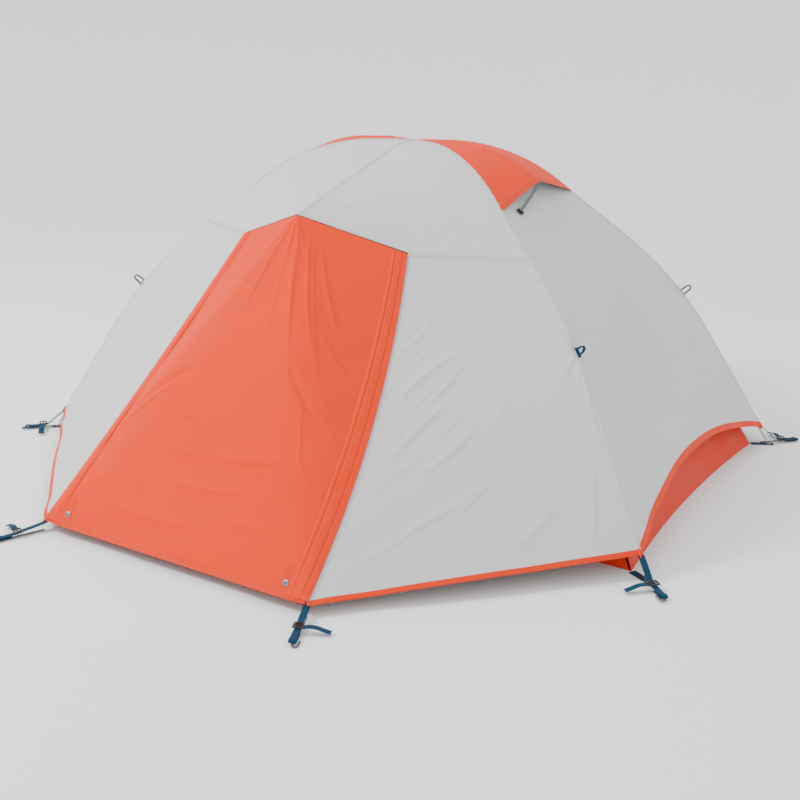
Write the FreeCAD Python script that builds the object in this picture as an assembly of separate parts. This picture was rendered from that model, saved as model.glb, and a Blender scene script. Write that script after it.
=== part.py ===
"""Two-person dome tent: two crossed poles, a ridge pole, an inner tent and a rain fly.

Millimetres, +Z up. The origin is the centre of the floor at ground level. +X runs along the
tent towards one end, and -Y points out of the front door. Left and right ends, and front and
rear, are mirror images. Soft panels are thin closed solids of the fabric's true outer shape.
"""
import FreeCAD
import Part
import functools
import math
import os
from FreeCAD import Vector

# ---------------------------------------------------------------- driving dimensions
CORNER_X = 1150.0        # body corner of the fly, from the centre
CORNER_Y = 633.0
CORNER_Z = 70.0          # height of the fly's hem at its body corners
TOP_Z = 1093.5           # highest point of the fly
SHOULDER_R = 340.0       # where the flat top and the upper slope of the pole line meet, in plan
UPPER_SLOPE = 37.0       # degrees below horizontal
LOWER_SLOPE = 57.5
SHOULDER_BEND = 650.0    # bend radii of the fly's line over a pole
KNEE_BEND = 1380.0

RIDGE_Y = 670.0          # ridge end, which is also the peak of the door
RIDGE_Z = 924.0
RIDGE_SLOPE = 15.6
RIDGE_BEND = 460.0
DOOR_TOP_X = 314.0       # upper side corners of the door
DOOR_TOP_Y = 534.0
DOOR_TOP_Z = 817.0
VEST_X = 493.0           # staked corners of the vestibule
VEST_Y = 1323.0
VEST_Z = 33.0
CREASE_SOFT = (0.08, 0.20)      # half width of the door's creases: at the top, and growth downward
SEAM_AT = 0.554          # the roof seam meets the pole line at this share of the corner's distance
EDGE_BOW = (25.0, 28.0, 23.0)   # outward, inward and downward bow of the door's side edges
END_ARCH = 0.0515        # how far the end hem is cut up, as a share of the slope
PANEL_SAG = 14.0         # tension pulls each panel's middle in by this much

FABRIC = 2.0             # thickness of the fabric solids
SEAM_GAP = 1.6           # half of the space between two neighbouring panels
DOOR_GAP = 6.0           # space between the door and what it closes against

POLE_R = 4.25
POLE_BORE = 3.6
POLE_OFFSET = 9.5        # pole centre line below the fly's outer face
POLE_STEP = 10.0         # height between the centre lines of two crossing poles
POLE_FOOT_Z = 30.0
SECTIONS = 9             # tube sections in a main pole
RIDGE_SECTIONS = 3
JOINT_GAP = 0.4
FERRULE_R = 4.9
FERRULE_BORE = 4.4
FERRULE_LENGTH = 60.0
CORD_R = 1.4
TIP_R = 2.5
TIP_LENGTH = 24.0

INNER_OFFSET = 66.0      # inner tent below the fly's outer face
TUB_HEIGHT = 140.0
TUB_BOW_X = 33.0         # the floor's edges draw in between its corners
TUB_BOW_Y = 18.0
DOOR_Q = (0.30, 0.845)   # inner door opening, down the wall
DOOR_T = 0.40            # and across it
CROWN_Q = 0.035

HOOD_Q = 0.43            # the vent hood's free edge, on the pole line
HOOD_LIFT = (-5.0, 68.0) # outward and upward lift of the free edge's middle
HOOD_LAP = 3.0           # the hood's outer face over the fly's: it laps over the end panel
VENT_Q = (0.20, 0.345)   # mesh under the hood
END_TOP_Q = 0.36
STRUT_FOOT = (509.0, -168.0)
STRUT_LENGTH = 160.0
STRUT_RISE = 10.6        # degrees between the strut and the end panel
STRUT_BACK = 18.5        # degrees that the strut leans up the slope
STRUT_WIDTH = 10.0
STRUT_THICK = 2.0
STRUT_PIVOT = 5.0        # height of the strut's pin over the end panel
STRUT_PIN_R = 1.5
STRUT_EYE_R = 3.2

SLIDER_AT = 0.955        # closed place of the fly sliders, down the door's edge
SLIDER_TOP = 0.06        # and their place at the top of their travel
TIE_OUT_AT = 0.745
HEM_FACE = 3.0           # outer face of the hem bindings over the cloth's
STRAP_WIDTH = 20.0
STRAP_THICK = 1.6
STRAP_RUN = ((64.0, 16.0), (92.0, 12.0), (128.0, 11.0))     # out from the corner, and height
STRAP_TAIL = ((18.0, 16.0), (48.0, 18.0), (86.0, 9.0))      # the free end, across the strap
STRAP_TAIL_AT = 84.0
HEM_WIDTH = 12.0
DOOR_HEM_WIDTH = 14.0
BINDING = 1.5            # thickness of hem bindings, zip tapes and nets
FLAP_U = (0.872, 0.984)  # storm flap over the door's zip, across and down the door
FLAP_V = (0.02, 0.975)
FLAP_FACE = 5.6
FLAP_THICK = 1.4
SNAP_AT = (0.83, 0.965)  # press stud, across and down the door
SNAP_R = 9.0
SNAP_DOME_R = 5.0
NET_DEPTH = 8.0          # nets and pockets lie this far inside their panel
POCKET_U = (0.22, 0.58)  # near sides of the pockets, across an end wall
POCKET_WIDTH = 0.20
POCKET_V = (0.77, 0.865)
TAB_WIDTH = 25.0
TAB_THICK = 1.6
TAB_HOLE_R = 6.2
GROMMET_R = 10.0
GROMMET_BORE_R = 6.0
CLIPS_AT = (0.07, 0.14, 0.21, 0.29, 0.37)   # clips from each foot, as shares of the pole
STAKE_R = 2.5
STAKE_LENGTH = 150.0
STAKE_HOOK_R = 8.0
STAKE_REACH = 152.0      # hook's middle beyond the corner
BODY_STAKE_TURN = 43.0   # degrees from the tent's long axis
VEST_STAKE_TURN = 68.0
BODY_STAKE_LEVEL = 7.2   # the body stakes lie over the corner tabs
VEST_STAKE_LEVEL = 3.0

CORNER_R = math.hypot(CORNER_X, CORNER_Y)
INSIDE_Z = 200.0         # every panel's outer face looks away from this height on the centre line
SIDES = (("left", -1), ("right", 1))
FACES = (("front", -1), ("rear", 1))
UP = Vector(0, 0, 1)


# ---------------------------------------------------------------- lines of the shape
def tan_deg(angle):
    return math.tan(math.radians(angle))


def cos_deg(angle):
    return math.cos(math.radians(angle))


def leg_route(top_drop, offset, foot_z):
    """Corner points (r, z) of half a pole line, from the top to a foot at height foot_z."""
    upper = tan_deg(UPPER_SLOPE)
    lower = tan_deg(LOWER_SLOPE)
    upper_drop = offset / cos_deg(UPPER_SLOPE)
    lower_drop = offset / cos_deg(LOWER_SLOPE)
    top = TOP_Z - top_drop
    shoulder = SHOULDER_R + (top_drop - upper_drop) / upper
    knee = CORNER_Z + CORNER_R * lower - lower_drop - TOP_Z - SHOULDER_R * upper + upper_drop
    knee /= lower - upper
    knee_z = TOP_Z - (knee - SHOULDER_R) * upper - upper_drop
    foot = CORNER_R + (CORNER_Z - lower_drop - foot_z) / lower
    return [(0.0, top), (shoulder, top), (knee, knee_z), (foot, foot_z)]


def ridge_route(drop, half_length):
    """Corner points (r, z) of half the ridge line."""
    peak = RIDGE_Z + RIDGE_Y * tan_deg(RIDGE_SLOPE) - drop / cos_deg(RIDGE_SLOPE)
    return [(-half_length, peak - half_length * tan_deg(RIDGE_SLOPE)), (0.0, peak),
            (half_length, peak - half_length * tan_deg(RIDGE_SLOPE))]


def rounded(points, radii):
    """Runs and tangent arcs through the corner points: ("line", a, b) or ("arc", a, m, b)."""
    pieces = []
    start = points[0]
    for before, corner, after, radius in zip(points, points[1:], points[2:], radii):
        ax, az = before[0] - corner[0], before[1] - corner[1]
        bx, bz = after[0] - corner[0], after[1] - corner[1]
        la, lb = math.hypot(ax, az), math.hypot(bx, bz)
        ax, az, bx, bz = ax / la, az / la, bx / lb, bz / lb
        half = math.acos(max(-1.0, min(1.0, ax * bx + az * bz))) / 2.0
        reach = radius / math.tan(half)
        mx, mz = ax + bx, az + bz
        norm = math.hypot(mx, mz)
        depth = radius / math.sin(half) - radius
        a = (corner[0] + ax * reach, corner[1] + az * reach)
        b = (corner[0] + bx * reach, corner[1] + bz * reach)
        m = (corner[0] + mx / norm * depth, corner[1] + mz / norm * depth)
        pieces.append(("line", start, a))
        pieces.append(("arc", a, m, b))
        start = b
    pieces.append(("line", start, points[-1]))
    return pieces


def circle_centre(a, m, b):
    """Centre (r, z) of the circle through three points."""
    d = 2.0 * (a[0] * (m[1] - b[1]) + m[0] * (b[1] - a[1]) + b[0] * (a[1] - m[1]))
    sa, sm, sb = (p[0] ** 2 + p[1] ** 2 for p in (a, m, b))
    x = (sa * (m[1] - b[1]) + sm * (b[1] - a[1]) + sb * (a[1] - m[1])) / d
    z = (sa * (b[0] - m[0]) + sm * (a[0] - b[0]) + sb * (m[0] - a[0])) / d
    return (x, z)


def height(pieces, r):
    """Height of a rounded line over the distance r. Its arcs are all convex upward."""
    for piece in pieces:
        a, b = piece[1], piece[-1]
        if r <= b[0] or piece is pieces[-1]:
            if piece[0] == "line":
                return a[1] + (b[1] - a[1]) * (r - a[0]) / (b[0] - a[0])
            centre = circle_centre(*piece[1:])
            radius = math.hypot(a[0] - centre[0], a[1] - centre[1])
            return centre[1] + math.sqrt(radius ** 2 - (r - centre[0]) ** 2)


def leg_pieces(top_drop, offset, foot_z):
    return rounded(leg_route(top_drop, offset, foot_z), (SHOULDER_BEND - offset, KNEE_BEND - offset))


FLY_LINE = leg_pieces(0.0, 0.0, 0.0)
INNER_LINE = leg_pieces(INNER_OFFSET, INNER_OFFSET, 0.0)
RIDGE_LINE = rounded(ridge_route(0.0, RIDGE_Y), (RIDGE_BEND,))
FLOOR_R = INNER_LINE[-1][2][0]
FLOOR_X = FLOOR_R * CORNER_X / CORNER_R
FLOOR_Y = FLOOR_R * CORNER_Y / CORNER_R


def pole_point(sx, sy, q):
    """Point of the fly over a pole, q of the way from the centre to the corner in plan."""
    return Vector(sx * CORNER_X * q, sy * CORNER_Y * q, height(FLY_LINE, CORNER_R * q))


def ridge_point(sy, share):
    y = RIDGE_Y * share
    return Vector(0, sy * y, height(RIDGE_LINE, y))


def straight(a, b):
    return lambda t: a + (b - a) * t


def bowed(a, b, bow):
    return lambda t: a + (b - a) * t + bow * (4.0 * t * (1.0 - t))


def corner_points(sx, sy):
    """Named points of one quarter of the fly."""
    return {
        "ridge_end": Vector(0, sy * RIDGE_Y, RIDGE_Z),
        "door_top": Vector(sx * DOOR_TOP_X, sy * DOOR_TOP_Y, DOOR_TOP_Z),
        "vest": Vector(sx * VEST_X, sy * VEST_Y, VEST_Z),
        "body": pole_point(sx, sy, 1.0),
        "seam": pole_point(sx, sy, SEAM_AT),
    }


def door_edge(sx, sy):
    """The bowed line between the door and a side panel, from the top down."""
    p = corner_points(sx, sy)
    bow = Vector(sx * EDGE_BOW[0], -sy * EDGE_BOW[1], -EDGE_BOW[2])
    return bowed(p["door_top"], p["vest"], bow)


# ---------------------------------------------------------------- surfaces
def coons(left, right, first, last):
    """Surface between four curves: left and right run along v, first and last along u."""
    c00, c10, c01, c11 = left(0.0), right(0.0), left(1.0), right(1.0)

    def point(u, v):
        across = left(v) * (1 - u) + right(v) * u
        down = first(u) * (1 - v) + last(u) * v
        flat = c00 * ((1 - u) * (1 - v)) + c10 * (u * (1 - v)) + c01 * ((1 - u) * v) + c11 * (u * v)
        return across + down - flat
    return point


def outward(surface, u, v):
    """Unit normal of a surface, pointing away from the inside of the tent."""
    step = 1e-3
    du = surface(u + step, v) - surface(u - step, v)
    dv = surface(u, v + step) - surface(u, v - step)
    normal = du.cross(dv)
    normal.normalize()
    inside = Vector(0, 0, INSIDE_Z)
    if normal.dot(surface(u, v) - inside) < 0:
        normal = normal * -1.0
    return normal


def sagged(surface, depth):
    """A surface whose middle is drawn inward by depth."""
    def point(u, v):
        pull = depth * 16.0 * u * (1 - u) * v * (1 - v)
        return surface(u, v) - outward(surface, u, v) * pull
    return point


def roof_patch(sx, sy):
    """Roof quarter with corners apex, ridge end, door top and the seam's end on the pole."""
    p = corner_points(sx, sy)
    return coons(lambda v: ridge_point(sy, v),
                 straight(p["seam"], p["door_top"]),
                 lambda u: pole_point(sx, sy, SEAM_AT * u),
                 straight(p["ridge_end"], p["door_top"]))


def side_patch(sx, sy):
    """Side panel: u from the door's edge to the pole line, v from the seam down to the hem."""
    p = corner_points(sx, sy)
    return sagged(coons(door_edge(sx, sy),
                        lambda v: pole_point(sx, sy, SEAM_AT + (1 - SEAM_AT) * v),
                        straight(p["door_top"], p["seam"]),
                        straight(p["vest"], p["body"])), PANEL_SAG)


def door_patch(sx, sy):
    """Half of a fly door: u from its middle to its side edge, v from the top down.

    The front is flat between the peak and the staked corners. A crease from the peak to the
    corner, softer the lower it is, parts it from the narrow side.
    """
    p = corner_points(sx, sy)
    middle = straight(p["ridge_end"], Vector(0, sy * VEST_Y, VEST_Z))
    crease = straight(p["ridge_end"], p["vest"])
    edge = door_edge(sx, sy)

    def point(u, v):
        a, c, e = middle(v), crease(v), edge(v)
        front, side = (c - a).Length, (e - c).Length
        bend = front / (front + side)
        soft = min(CREASE_SOFT[0] + CREASE_SOFT[1] * v, bend, 1.0 - bend)

        def sharp(s):
            return a + (c - a) * (s / bend) if s < bend else c + (e - c) * ((s - bend) / (1.0 - bend))
        if abs(u - bend) >= soft:
            return c if u == bend else sharp(u)
        t = (u - bend + soft) / (2.0 * soft)
        return sharp(bend - soft) * (1 - t) ** 2 + c * (2 * t * (1 - t)) + sharp(bend + soft) * t ** 2
    return point


def end_surface(sx, q, t):
    """End of the fly at q down the slope and t across it, -1 to 1."""
    return Vector(sx * CORNER_X * q, CORNER_Y * q * t, height(FLY_LINE, CORNER_R * q))


def end_patch(sx):
    """End panel: u across, v from the vent down to the arched hem."""
    def point(u, v):
        t = 2.0 * u - 1.0
        hem = 1.0 - END_ARCH * (1.0 - t * t)
        return end_surface(sx, END_TOP_Q + (hem - END_TOP_Q) * v, t)
    return sagged(point, PANEL_SAG)


def hood_patch(sx):
    """Vent hood: u across, v from the apex to the free edge, which stands up in its middle."""
    def point(u, v):
        t = 2.0 * u - 1.0
        lift = (1.0 - math.sqrt(t * t + 0.02) * 0.99) * v * v
        return end_surface(sx, HOOD_Q * v, t) + Vector(sx * HOOD_LIFT[0], 0, HOOD_LIFT[1]) * lift
    return point


def vent_patch(sx):
    def point(u, v):
        return end_surface(sx, VENT_Q[0] + (VENT_Q[1] - VENT_Q[0]) * v, 2.0 * u - 1.0)
    return point


def inner_end(sx):
    """Inner end wall: u across, v from the apex to the floor."""
    def point(u, v):
        return Vector(sx * FLOOR_X * v, FLOOR_Y * v * (2.0 * u - 1.0), height(INNER_LINE, FLOOR_R * v))
    return point


def inner_side(sy):
    """Inner side wall: u across, v from the apex to the floor."""
    def point(u, v):
        return Vector(FLOOR_X * v * (2.0 * u - 1.0), sy * FLOOR_Y * v, height(INNER_LINE, FLOOR_R * v))
    return point


# ---------------------------------------------------------------- solids from surfaces
def basis(i, degree, t, knots, slopes=0):
    """B-spline basis function at t, or its derivative of the order slopes."""
    if degree == 0:
        return 1.0 if knots[i] <= t < knots[i + 1] else 0.0
    left = knots[i + degree] - knots[i]
    right = knots[i + degree + 1] - knots[i + 1]
    first, second = (degree, -degree) if slopes else (t - knots[i], knots[i + degree + 1] - t)
    total = 0.0
    if left:
        total += first / left * basis(i, degree - 1, t, knots, max(slopes - 1, 0))
    if right:
        total += second / right * basis(i + 1, degree - 1, t, knots, max(slopes - 1, 0))
    return total


@functools.lru_cache(maxsize=None)
def pole_weights(count):
    """Shares of evenly spaced points in the poles of the cubic spline through them."""
    last, size = count - 1, count + 2
    knots = [0] * 3 + list(range(count)) + [last] * 3
    end = last - 1e-9
    rows = [[basis(i, 3, min(k, end), knots) for i in range(size)] for k in range(count)]
    for a, b in ((0, 1), (end, last - 1)):
        rows.append([basis(i, 3, a, knots, 2) - basis(i, 3, b, knots, 2) for i in range(size)])
    for i, row in enumerate(rows):
        row += [1.0 if k == i else 0.0 for k in range(size)]
    for i in range(size):
        pivot = max(range(i, size), key=lambda k: abs(rows[k][i]))
        rows[i], rows[pivot] = rows[pivot], rows[i]
        rows[i] = [value / rows[i][i] for value in rows[i]]
        for k in range(size):
            if k != i:
                share = rows[k][i]
                rows[k] = [a - share * b for a, b in zip(rows[k], rows[i])]
    return [row[size:size + count] for row in rows]


def spline_poles(points):
    poles = []
    for row in pole_weights(len(points)):
        pole = Vector()
        for share, point in zip(row, points):
            pole += point * share
        poles.append(pole)
    return poles


def spline_surface(rows):
    """Cubic surface through a grid of points that are evenly spaced in its two parameters."""
    along = [spline_poles(row) for row in rows]
    across = [spline_poles(column) for column in zip(*along)]
    made = Part.BSplineSurface()
    counts = (len(rows), len(rows[0]))
    mults = [[4] + [1] * (count - 2) + [4] for count in counts]
    knots = [[float(k) for k in range(count)] for count in counts]
    made.buildFromPolesMultsKnots([list(row) for row in zip(*across)], *mults, *knots,
                                  False, False, 3, 3)
    return made


def panel(surface, us, vs, outer=0.0, inner=-FABRIC, grid=(9, 17)):
    """Closed solid between two offsets of a surface, over a rectangle of its parameters."""
    def skin(offset):
        rows = []
        for i in range(grid[0]):
            u = us[0] + (us[1] - us[0]) * i / (grid[0] - 1)
            row = []
            for j in range(grid[1]):
                v = vs[0] + (vs[1] - vs[0]) * j / (grid[1] - 1)
                row.append(surface(u, v) + outward(surface, u, v) * offset)
            rows.append(row)
        return spline_surface(rows)

    top, bottom = skin(outer), skin(inner)
    u0, u1, v0, v1 = top.bounds()
    faces = [top.toShape(), bottom.toShape()]
    for value in (u0, u1):
        faces.append(Part.makeRuledSurface(top.uIso(value).toShape(), bottom.uIso(value).toShape()))
    for value in (v0, v1):
        faces.append(Part.makeRuledSurface(top.vIso(value).toShape(), bottom.vIso(value).toShape()))
    sewn = Part.makeCompound(faces)
    sewn.sewShape()
    return closed(Part.Solid(Part.Shell(sewn.Faces)))


def closed(solid):
    """The solid with its faces turned outward, checked."""
    if solid.Volume < 0:
        solid.reverse()
    if not solid.isValid() or solid.Volume <= 0:
        raise RuntimeError("a solid is not closed")
    return solid


def tube(pieces, place, radius, bore=0.0):
    """Round bar or tube along line and arc pieces, put in space by place(r, z)."""
    edges = []
    for piece in pieces:
        points = [place(*p) for p in piece[1:]]
        maker = Part.LineSegment if piece[0] == "line" else Part.Arc
        edges.append(maker(*points).toShape())
    path = Part.Wire(edges)
    start = edges[0].firstVertex().Point
    along = edges[0].tangentAt(edges[0].FirstParameter)
    section = Part.Face(Part.Wire(Part.makeCircle(radius, start, along)))
    solid = path.makePipe(section)
    if bore:
        solid = solid.cut(path.makePipe(Part.Face(Part.Wire(Part.makeCircle(bore, start, along)))))
    return closed(solid.Solids[0])


def piece_length(piece):
    a, b = piece[1], piece[-1]
    chord = math.dist(a, b)
    if piece[0] == "line":
        return chord
    radius = math.dist(a, circle_centre(*piece[1:]))
    return 2.0 * radius * math.asin(chord / (2.0 * radius))


def piece_point(piece, share):
    a, b = piece[1], piece[-1]
    if piece[0] == "line":
        return (a[0] + (b[0] - a[0]) * share, a[1] + (b[1] - a[1]) * share)
    centre = circle_centre(*piece[1:])
    first = math.atan2(a[1] - centre[1], a[0] - centre[0])
    turn = math.atan2(b[1] - centre[1], b[0] - centre[0]) - first
    radius = math.dist(a, centre)
    angle = first + turn * share
    return (centre[0] + radius * math.cos(angle), centre[1] + radius * math.sin(angle))


def cut_route(pieces, start, stop):
    """The part of a route between two lengths along it."""
    kept, passed = [], 0.0
    for piece in pieces:
        length = piece_length(piece)
        low = max(0.0, (start - passed) / length)
        high = min(1.0, (stop - passed) / length)
        if high - low > 1e-9:
            points = [piece_point(piece, low), piece_point(piece, high)]
            if piece[0] == "arc":
                points.insert(1, piece_point(piece, (low + high) / 2.0))
            kept.append((piece[0], *points))
        passed += length
    return kept


def whole_pole(top_drop):
    """Route of a main pole from foot to foot, r running from minus to plus."""
    half = leg_route(top_drop, POLE_OFFSET, POLE_FOOT_Z)
    points = [(-r, z) for r, z in reversed(half[1:])] + half[1:]
    shoulder, knee = SHOULDER_BEND - POLE_OFFSET, KNEE_BEND - POLE_OFFSET
    return rounded(points, (knee, shoulder, shoulder, knee))


def along_diagonal(sy):
    """Places (r, z) in the upright plane of the pole from the left to the right end."""
    def place(r, z):
        return Vector(r * CORNER_X / CORNER_R, sy * r * CORNER_Y / CORNER_R, z)
    return place


def along_ridge(r, z):
    return Vector(0, r, z)


def pole_set():
    """Routes and placings of the three poles, by name."""
    ridge = rounded(ridge_route(POLE_OFFSET, RIDGE_Y - 30.0), (RIDGE_BEND - POLE_OFFSET,))
    return {
        "main_pole_a": (whole_pole(POLE_OFFSET + POLE_STEP), along_diagonal(-1), SECTIONS),
        "main_pole_b": (whole_pole(POLE_OFFSET + 2 * POLE_STEP), along_diagonal(1), SECTIONS),
        "ridge_pole": (ridge, along_ridge, RIDGE_SECTIONS),
    }


def route_length(route):
    return sum(piece_length(piece) for piece in route)


# ---------------------------------------------------------------- poles
def pole_nodes():
    nodes = {"pole_ferrules": [], "pole_tips": [], "shock_cords": []}
    for name, (route, place, count) in pole_set().items():
        total = route_length(route)
        step = total / count
        nodes[name] = []
        for i in range(count):
            part = cut_route(route, i * step + JOINT_GAP / 2, (i + 1) * step - JOINT_GAP / 2)
            nodes[name].append(tube(part, place, POLE_R, POLE_BORE))
            if i:
                sleeve = cut_route(route, i * step - FERRULE_LENGTH / 2, i * step + FERRULE_LENGTH / 2)
                nodes["pole_ferrules"].append(tube(sleeve, place, FERRULE_R, FERRULE_BORE))
        cord = cut_route(route, FERRULE_LENGTH / 2, total - FERRULE_LENGTH / 2)
        nodes["shock_cords"].append(tube(cord, place, CORD_R))
        for first, last in ((1.0, 0.0), (total - 1.0, total)):
            a = place(*cut_route(route, min(first, last), max(first, last))[0][1])
            b = place(*cut_route(route, min(first, last), max(first, last))[-1][-1])
            end, along = (a, a - b) if last == 0.0 else (b, b - a)
            nodes["pole_tips"].append(pole_tip(end, along))
    return nodes


def pole_tip(end, along):
    """Metal end plug: a shoulder against the tube, a pin and a rounded end."""
    along.normalize()
    shoulder = Part.makeCylinder(POLE_R, 3.0, end + along * 0.3, along)
    pin = Part.makeCylinder(TIP_R, TIP_LENGTH, end + along * 0.3, along)
    ball = Part.makeSphere(TIP_R, end + along * (TIP_LENGTH + 0.3))
    return closed(shoulder.fuse([pin, ball]).removeSplitter().Solids[0])


def pole_hub():
    """Moulded hub at the crossing, with a channel for each pole."""
    low_z = TOP_Z - POLE_OFFSET - 2 * POLE_STEP - POLE_R - 3.0
    hub = Part.makeCylinder(22.0, TOP_Z - POLE_OFFSET + 1.0 - low_z, Vector(0, 0, low_z))
    bore, half = POLE_R + 0.6, 40.0
    for name, (route, place, count) in pole_set().items():
        middle = route_length(route) / 2.0
        hub = hub.cut(tube(cut_route(route, middle - half, middle + half), place, bore))
    return [closed(hub.Solids[0])]


def pole_clips():
    """Hook clips that hang the inner tent: a ring round the pole and a webbing arm to the wall."""
    clips = []
    ring_r, ring_half, arm_w, arm_t = 6.0, 8.0, 14.0, 2.5
    for route, place, _ in list(pole_set().values())[:2]:
        total = route_length(route)
        for share in CLIPS_AT + tuple(1.0 - at for at in CLIPS_AT):
            here = cut_route(route, share * total - ring_half, share * total + ring_half)
            a, b = place(*here[0][1]), place(*here[-1][-1])
            centre, along = (a + b) * 0.5, b - a
            along.normalize()
            side = along.cross(UP)
            side.normalize()
            down = along.cross(side)
            if down.z > 0:
                down = down * -1.0
            ring = Part.makeCylinder(ring_r, 2 * ring_half, centre - along * ring_half, along)
            arm_length = INNER_OFFSET - POLE_OFFSET - 5.0
            corner = centre - along * (arm_w / 2) - side * (arm_t / 2)
            arm = block(corner, along, side, down, (arm_w, arm_t, arm_length))
            clip = ring.fuse(arm)
            clip = clip.cut(Part.makeCylinder(POLE_R + 0.4, 4 * ring_half, centre - along * 2 * ring_half,
                                              along))
            clips.append(closed(clip.Solids[0]))
    return clips


def block(corner, x_dir, y_dir, z_dir, size):
    """Box with its corner and three edge directions given."""
    a = corner
    b = a + x_dir * size[0]
    c = b + y_dir * size[1]
    d = a + y_dir * size[1]
    return closed(Part.Face(Part.makePolygon([a, b, c, d, a])).extrude(z_dir * size[2]))


# ---------------------------------------------------------------- inner tent
def tub_half_widths(z):
    """Half length and half width of the floor tub at its corners, at height z."""
    r = FLOOR_R - z / tan_deg(LOWER_SLOPE)
    return r * CORNER_X / CORNER_R, r * CORNER_Y / CORNER_R


def floor_outline():
    """Outline of the floor sheet: its edges draw in between its corners."""
    x, y = tub_half_widths(0.0)
    corners = [Vector(-x, -y, 0), Vector(x, -y, 0), Vector(x, y, 0), Vector(-x, y, 0)]
    middles = [Vector(0, TUB_BOW_Y - y, 0), Vector(x - TUB_BOW_X, 0, 0), Vector(0, y - TUB_BOW_Y, 0),
               Vector(TUB_BOW_X - x, 0, 0)]
    edges = []
    for i in range(4):
        edges.append(Part.Arc(corners[i], middles[i], corners[(i + 1) % 4]).toShape())
    return Part.Wire(edges)


def tub_end_wall(sx):
    """Tub wall at one end: u across, v up."""
    def point(u, v):
        x, y = tub_half_widths(v * TUB_HEIGHT)
        t = 2.0 * u - 1.0
        return Vector(sx * (x - TUB_BOW_X * (1 - t * t)), y * t, v * TUB_HEIGHT)
    return point


def tub_side_wall(sy):
    def point(u, v):
        x, y = tub_half_widths(v * TUB_HEIGHT)
        t = 2.0 * u - 1.0
        return Vector(x * t, sy * (y - TUB_BOW_Y * (1 - t * t)), v * TUB_HEIGHT)
    return point


def tub_floor():
    """Bathtub floor: a sheet on the ground and four low walls sewn to it."""
    foot_v = (FABRIC + 1.2) / TUB_HEIGHT
    solids = [closed(Part.Face(floor_outline()).extrude(UP * FABRIC))]
    for wall in (tub_end_wall(-1), tub_end_wall(1)):
        solids.append(panel(wall, (0.004, 0.996), (foot_v, 1.0), grid=(9, 3)))
    for wall in (tub_side_wall(-1), tub_side_wall(1)):
        solids.append(panel(wall, (0.003, 0.997), (foot_v, 1.0), grid=(9, 3)))
    return solids


def tub_top_v():
    """Share down the inner walls where the tub's walls take over."""
    return 1.0 - (TUB_HEIGHT + 3.0) / tan_deg(LOWER_SLOPE) / FLOOR_R


def inner_end_wall(sx):
    wall = inner_end(sx)
    return panel(wall, (0.012, 0.988), (CROWN_Q + 0.01, tub_top_v()), grid=(3, 25))


def inner_side_wall(sy):
    """Side wall in four pieces round the door's opening."""
    wall = inner_side(sy)
    opening = (1.0 - DOOR_T) / 2.0 - 0.006
    low, high = opening, 1.0 - opening
    foot = tub_top_v()
    return [panel(wall, (0.006, low - 0.001), (CROWN_Q, foot), grid=(3, 25)),
            panel(wall, (high + 0.001, 0.994), (CROWN_Q, foot), grid=(3, 25)),
            panel(wall, (low, high), (CROWN_Q, DOOR_Q[0] - 0.008), grid=(3, 9)),
            panel(wall, (low, high), (DOOR_Q[1] + 0.008, foot), grid=(3, 5))]


def inner_door(sy):
    wall = inner_side(sy)
    edge = (1.0 - DOOR_T) / 2.0
    return [panel(wall, (edge, 1.0 - edge), DOOR_Q, grid=(3, 17))]


def inner_door_hinge(sy):
    """Point and direction of the inner door's turning line, just outside its left edge."""
    wall = inner_side(sy)
    u = (1.0 - DOOR_T) / 2.0
    foot, head = wall(u, DOOR_Q[1]), wall(u, DOOR_Q[0])
    direction = head - foot
    direction.normalize()
    best = foot
    reach = 0.0
    for step in range(1, 40):
        point = wall(u, DOOR_Q[0] + (DOOR_Q[1] - DOOR_Q[0]) * step / 40.0)
        away = (point - foot) - direction * (point - foot).dot(direction)
        if away.Length > reach:
            best, reach = point, away.Length
    return best + outward(wall, u, 0.6) * 3.0, direction


def inner_zip(sy):
    """Zip tapes along both sides of the inner door's opening, inside the wall."""
    wall = inner_side(sy)
    edge = (1.0 - DOOR_T) / 2.0
    tapes = []
    for low in (edge - 0.018, 1.0 - edge + 0.006):
        tapes.append(panel(wall, (low, low + 0.012), DOOR_Q, -FABRIC - 1.5, -FABRIC - 3.0, (3, 17)))
    return tapes


def inner_zip_slider(sy):
    """Slider and pull at the foot of the inner door's free side."""
    wall = inner_side(sy)
    u = (1.0 + DOOR_T) / 2.0 - 0.012
    v = DOOR_Q[1] - 0.03
    return slider(wall, u, v, 1.5)


def slider(surface, u, v, lift):
    """Zip slider with its pull, standing on the outer face of a surface."""
    normal = outward(surface, u, v)
    down = surface(u, v + 0.01) - surface(u, v - 0.01)
    down.normalize()
    across = normal.cross(down)
    across.normalize()
    body_size, pull_size = (14.0, 9.0, 5.0), (30.0, 5.0, 1.5)
    base = surface(u, v) + normal * lift
    body = block(base - down * (body_size[0] / 2) - across * (body_size[1] / 2), down, across, normal,
                 body_size)
    pull = block(base - across * (pull_size[1] / 2) + normal * 2.0, down, across, normal, pull_size)
    return closed(body.fuse(pull).removeSplitter().Solids[0])


def inner_crown():
    """Reinforcement patch over the top of the inner tent."""
    size = (96.0, 60.0, 2.0)
    base = TOP_Z - INNER_OFFSET + 2.0
    patch = Part.makeBox(*size, Vector(-size[0] / 2, -size[1] / 2, base))
    strap_top = TOP_Z - POLE_OFFSET - 2 * POLE_STEP - POLE_R - 4.0
    strap = Part.makeBox(16.0, 2.5, strap_top - base - size[2], Vector(-8.0, -1.25, base + size[2]))
    return [closed(patch.fuse(strap).removeSplitter().Solids[0])]


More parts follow.
